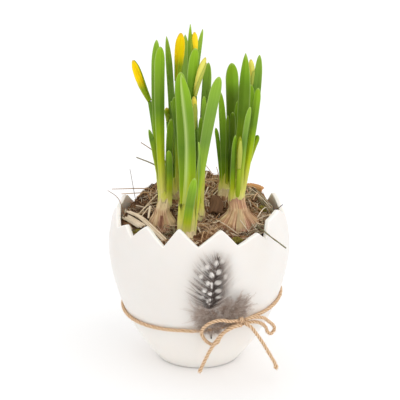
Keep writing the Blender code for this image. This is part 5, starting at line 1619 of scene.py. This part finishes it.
making = Making()
centre = on_pot(KNOT_AZIMUTH, KNOT_HEIGHT, KNOT_OFF)
outward = around(KNOT_AZIMUTH, 1.0, 0.0)
across = around(KNOT_AZIMUTH + 90, 1.0, 0.0)
for k, lean in enumerate((0.5, -0.45)):
    stops = []
    for n in range(10):
        angle = math.tau * n / 10 - 0.2
        shift = across * (2.0 * (k - 0.5) + 0.9 * math.sin(angle) * lean)
        rise = Vector((0, 0, 2.4 * math.sin(angle)))
        stops.append(centre + shift + rise + outward * (1.1 * math.cos(angle)))
    lay_twine(making, even_path(stops, 0.5), 11 + k)
stops = [centre + across * s + outward * (0.4 - 0.06 * s * s) for s in (-3.4, -1.7, 0.0, 1.7, 3.4)]
lay_twine(making, even_path(stops, 0.5), 14)
stops = [centre + across * s + Vector((0, 0, 0.5 * s)) - outward * 0.7 for s in (-2.8, 0.0, 2.8)]
lay_twine(making, even_path(stops, 0.5), 15)
make_piece("jute_knot", making, jute, "twine", "twine_knot")


# The spotted feather. A dark grey body feather with white spots is tucked behind
# the knot by its quill. Its vane is loose: the barbs on the left have parted
# into spikes, and those on the right still lie close. Their ends are thin.

# The shaft's stops are azimuth, height and distance off the pot, from the quill up.
SHAFT = (
    (9.4, 33.0, 1.2),
    (8.2, 45.0, 1.0),
    (7.2, 59.2, 1.8),
    (8.0, 72.2, 2.6),
    (9.1, 85.2, 3.0),
    (11.8, 99.6, 4.4),
)
SHAFT_ROWS = 40
VANE_FROM = 0.4
VANE_LENGTH = 0.56
BARBS = 230
# The vane's two sides: the hand, the longest and shortest barb, their lean at the
# foot and the tip, the barbs in a clump, how far it swings and draws together, and
# where along a barb its colour starts to fade and how fast.
VANE_SIDES = (
    (-1, (20.0, 8.0), (64.0, 38.0), 9, (6.0, 1.0), (0.3, 1.0)),
    (1, (19.0, 7.0), (62.0, 40.0), 16, (2.4, 0.3), (0.26, 1.5)),
)
# The white spots: azimuth, height, half width and half height.
SPOTS = (
    (10.0, 94.7, 1.4, 1.8),
    (11.2, 88.2, 1.5, 1.8),
    (11.1, 80.4, 1.8, 1.7),
    (11.5, 74.0, 1.7, 1.5),
    (11.7, 69.0, 1.7, 1.0),
    (7.2, 86.4, 1.2, 1.8),
    (5.2, 80.3, 1.2, 1.6),
    (3.2, 74.8, 1.4, 1.6),
    (1.6, 69.5, 1.3, 1.1),
    (6.8, 71.9, 1.3, 1.3),
    (6.9, 67.0, 1.0, 1.0),
    (7.0, 63.6, 0.9, 0.8),
    (4.8, 92.3, 1.3, 1.5),
    (2.1, 91.0, 1.1, 1.4),
    (1.2, 85.5, 1.1, 1.4),
    (13.6, 95.8, 1.2, 1.3),
    (7.5, 78.4, 0.45, 2.2),
    (4.9, 66.6, 0.5, 1.8),
    (15.4, 84.6, 1.0, 1.6),
)


def spot_at(azimuth, height):
    """How white a spot makes the vane there, from 0 outside to 1 inside."""
    white = 0.0
    for at, up, half, tall in SPOTS:
        near = ((azimuth - at) / half) ** 2 + ((height - up) / tall) ** 2
        white = max(white, min(max(1.5 - near, 0.0) * 2, 1.0))
    return white


barb_grey, tree, shader = new_finish("barb", 0.75, Specular_IOR_Level=0.25)
colour = colour_run(
    tree,
    mark_of(tree, "tint"),
    (
        (0.0, rgb(52, 42, 38)),
        (0.35, rgb(104, 92, 86)),
        (0.7, rgb(166, 152, 144)),
        (1.0, rgb(228, 220, 212)),
    ),
)
downy = colour_run(
    tree,
    mark_of(tree, "tint"),
    (
        (0.0, rgb(96, 70, 54)),
        (0.4, rgb(154, 126, 108)),
        (0.75, rgb(200, 180, 166)),
        (1.0, rgb(236, 226, 218)),
    ),
)
colour = blend(tree, mark_of(tree, "tone"), colour, downy)
streaks = place_group(tree, fibre_streaks, Grain=mark_of(tree, "grain"), Fine=4.0, Long=0.3)
colour = blend(tree, math_of(tree, "MULTIPLY", streaks["Streak"], 0.2), colour, rgb(120, 104, 96))
colour = blend(tree, mark_of(tree, "edge"), colour, rgb(250, 244, 238))
tree.links.new(colour, shader.inputs["Base Color"])

making = Making()
last = len(SHAFT) - 1
stops = [smooth_curve(SHAFT, last * k / SHAFT_ROWS) for k in range(SHAFT_ROWS + 1)]
path = [on_pot(*stop) for stop in stops]
radii = [0.5 * (1 - 0.7 * k / SHAFT_ROWS) for k in range(SHAFT_ROWS + 1)]
# The quill's end is dark, the bare quill pale and the shaft in the vane dark again.
shades = [0.0] * 3 + [0.95] * 14 + [0.15] * (SHAFT_ROWS - 16)
making.tube(path, radii, 8, tint=[shade for shade in shades for _ in range(8)])
draw = random.Random(17)
for hand, (long, short), (wide, narrow), clumped, (swing, draw_in), fading in VANE_SIDES:
    fade_from, fade_by = fading
    for row in range(BARBS):
        f = (row + draw.uniform(-0.4, 0.4)) / (BARBS - 1)
        f = min(max(f, 0.0), 1.0)
        azimuth, height, off = smooth_curve(SHAFT, last * (VANE_FROM + VANE_LENGTH * f))
        if row % clumped == 0:
            clump = draw.uniform(-swing, swing)
            clump_row = row + (clumped - 1) // 2
        pull = (clump_row - row) * draw_in
        angle = math.radians((wide + (narrow - wide) * f + clump) * min((1 - f) / 0.2, 1.0))
        bend = math.radians(-pull - draw.uniform(6, 16))
        swell = math.sin(math.pi * min(0.3 + 0.7 * f, 1.0)) ** 0.5 if f < 0.99 else 0.3
        length = (short + (long - short) * swell) * draw.uniform(0.82, 1.08)
        length *= 1 - 0.5 * max(f - 0.8, 0.0) / 0.2
        loose = row % 3 == 0
        if loose:
            length *= draw.uniform(1.0, 1.35)
            angle += math.radians(draw.uniform(-14, 14))
        steps = max(int(length / 1.4), 6)
        path, shades, spots = [], [], []
        for k in range(steps + 1):
            share = k / steps
            stand = off + (2.9 - off) * min(share * 2, 1.0) + 0.5 * draw.uniform(-0.3, 0.5) * share
            path.append(on_pot(azimuth, height, max(stand, 1.0)))
            fade = 0.1 + 0.25 * f * f + fade_by * max(share - fade_from, 0.0)
            fade += draw.uniform(-0.05, 0.05)
            fade += 0.35 if loose else 0.0
            shades += [min(fade, 1.0)] * 3
            spots += [spot_at(azimuth, height)] * 3
            going = angle + bend * share
            step = length / steps
            height += step * math.cos(going)
            azimuth += hand * math.degrees(step * math.sin(going) / (pot_radius(height) + 2.5))
        radii = [(0.1 if loose else 0.18) * (1 - 0.75 * (k / steps) ** 1.3) for k in range(steps + 1)]
        making.tube(path, radii, 3, 0.6, start=row, tint=shades, edge=spots)
make_piece("spotted_feather", making, barb_grey, "feather", "feather_spotted")


# The down. A tuft of grey brown fluff at the feather's foot, tied in with it and
# spilling over the twine. It is many small plumes, each a hair with finer hairs
# on both sides, dark in the middle of the tuft and pale at its ends.

# Each tuft: its middle, half width and half height, its plumes and their length.
DOWN_TUFTS = (
    (14.0, 55.0, 16.0, 8.0, 260, 6.5),
    (20.5, 62.0, 7.0, 6.5, 80, 6.5),
    (8.5, 46.5, 8.0, 6.0, 80, 4.5),
    (3.0, 55.0, 8.0, 8.0, 26, 10.0),
    (28.0, 60.0, 6.0, 6.0, 20, 9.0),
)
PLUME_STEPS = 9
HAIRS = 9

making = Making()
draw = random.Random(23)
plumes = [tuft for tuft in DOWN_TUFTS for _ in range(tuft[4])]
for at, up, half, tall, _, long in plumes:
    angle = draw.uniform(0, math.tau)
    inner = math.sqrt(draw.random()) * 0.95
    azimuth = at + half * inner * math.cos(angle)
    height = up + tall * inner * math.sin(angle)
    if height > 56.5 + 0.75 * abs(azimuth - 8.5) + draw.uniform(-3.0, 2.0):
        continue
    off = draw.uniform(2.2, 5.6)
    going = math.atan2(math.sin(angle) * 1.2, math.cos(angle)) + draw.uniform(-0.7, 0.7)
    length = long * draw.uniform(0.6, 1.35) * (0.75 + 0.25 * inner)
    curl = draw.uniform(-0.06, 0.06)
    path = []
    for k in range(PLUME_STEPS + 1):
        path.append(on_pot(azimuth, height, max(off, 1.6)))
        going += curl
        step = length / PLUME_STEPS
        height += step * math.sin(going)
        azimuth += math.degrees(step * math.cos(going) / (pot_radius(height) + 4))
        off += draw.uniform(-0.1, 0.5) * (1 - 0.6 * k / PLUME_STEPS)
    dark = 0.25 + 0.35 * inner * draw.uniform(0.6, 1.2)
    shades, radii = [], []
    for k in range(PLUME_STEPS + 1):
        shades += [min(dark + 0.3 * k / PLUME_STEPS, 1.0)] * 3
        radii.append(0.09 - 0.06 * k / PLUME_STEPS)
    making.tube(path, radii, 3, tint=shades, tone=1.0)
    for k in range(1, HAIRS + 1):
        t = k / (HAIRS + 0.5) * PLUME_STEPS
        before, after = int(t), min(int(t) + 1, PLUME_STEPS)
        root = path[before].lerp(path[after], t - before)
        tangent = (path[after] - path[max(before - 1, 0)]).normalized()
        outward = Vector((root.x, root.y, 0)).normalized()
        across = tangent.cross(outward).normalized()
        for hand in (-1, 1):
            way = across * hand + tangent * draw.uniform(0.5, 1.2) + outward * draw.uniform(-0.3, 0.6)
            long = draw.uniform(1.2, 3.0) * (1 - 0.4 * k / HAIRS)
            tip = root + way.normalized() * long
            bend = root.lerp(tip, 0.5) + tangent * 0.2 * draw.uniform(-1, 1)
            shade = min(dark + 0.3 * k / HAIRS + draw.uniform(-0.1, 0.12), 1.0)
            tints = [shade] * 3 + [min(shade + 0.1, 1.0)] * 3 + [min(shade + 0.24, 1.0)] * 3
            making.tube([root, bend, tip], (0.075, 0.06, 0.03), 3, tint=tints, tone=1.0)
make_piece("feather_down_tuft", making, barb_grey, "down", "feather_down")


# The table and the light. A plain white sweep stands under and behind the pot in
# a light tent: light comes softly from all round, a little more from the front right.
TENT_STRENGTH = 1.02
LAMP_STRENGTH = 0.45
LAMP_SPREAD = math.radians(75)
LAMP_TILT = math.radians(50)
LAMP_TURN = math.radians(48)

floor_mesh = bpy.data.meshes.new("floor")
floor_mesh.from_pydata([(-6, -6, 0), (6, -6, 0), (6, 6, 0), (-6, 6, 0)], [], [(0, 1, 2, 3)])
floor = bpy.data.objects.new("floor", floor_mesh)
bpy.context.scene.collection.objects.link(floor)
table_white, tree, shader = new_finish("white sweep", 0.8, Specular_IOR_Level=0.2)
patches = place_group(tree, mottling, Broad=3.0, Fine=30.0)
colour = blend(tree, patches["Patch"], rgb(254, 254, 254), rgb(252, 252, 252))
tree.links.new(colour, shader.inputs["Base Color"])
floor_mesh.materials.append(table_white)

world = bpy.data.worlds.new("light tent")
world.use_nodes = True
world.node_tree.nodes["Background"].inputs["Color"].default_value = (1.0, 1.0, 1.0, 1.0)
world.node_tree.nodes["Background"].inputs["Strength"].default_value = TENT_STRENGTH
bpy.context.scene.world = world
lamp = bpy.data.objects.new("broad_lamp", bpy.data.lights.new("broad_lamp", "SUN"))
lamp.data.angle = LAMP_SPREAD
lamp.data.energy = LAMP_STRENGTH
lamp.rotation_euler = (LAMP_TILT, 0, LAMP_TURN)
bpy.context.scene.collection.objects.link(lamp)
bpy.context.scene.view_settings.view_transform = "Standard"
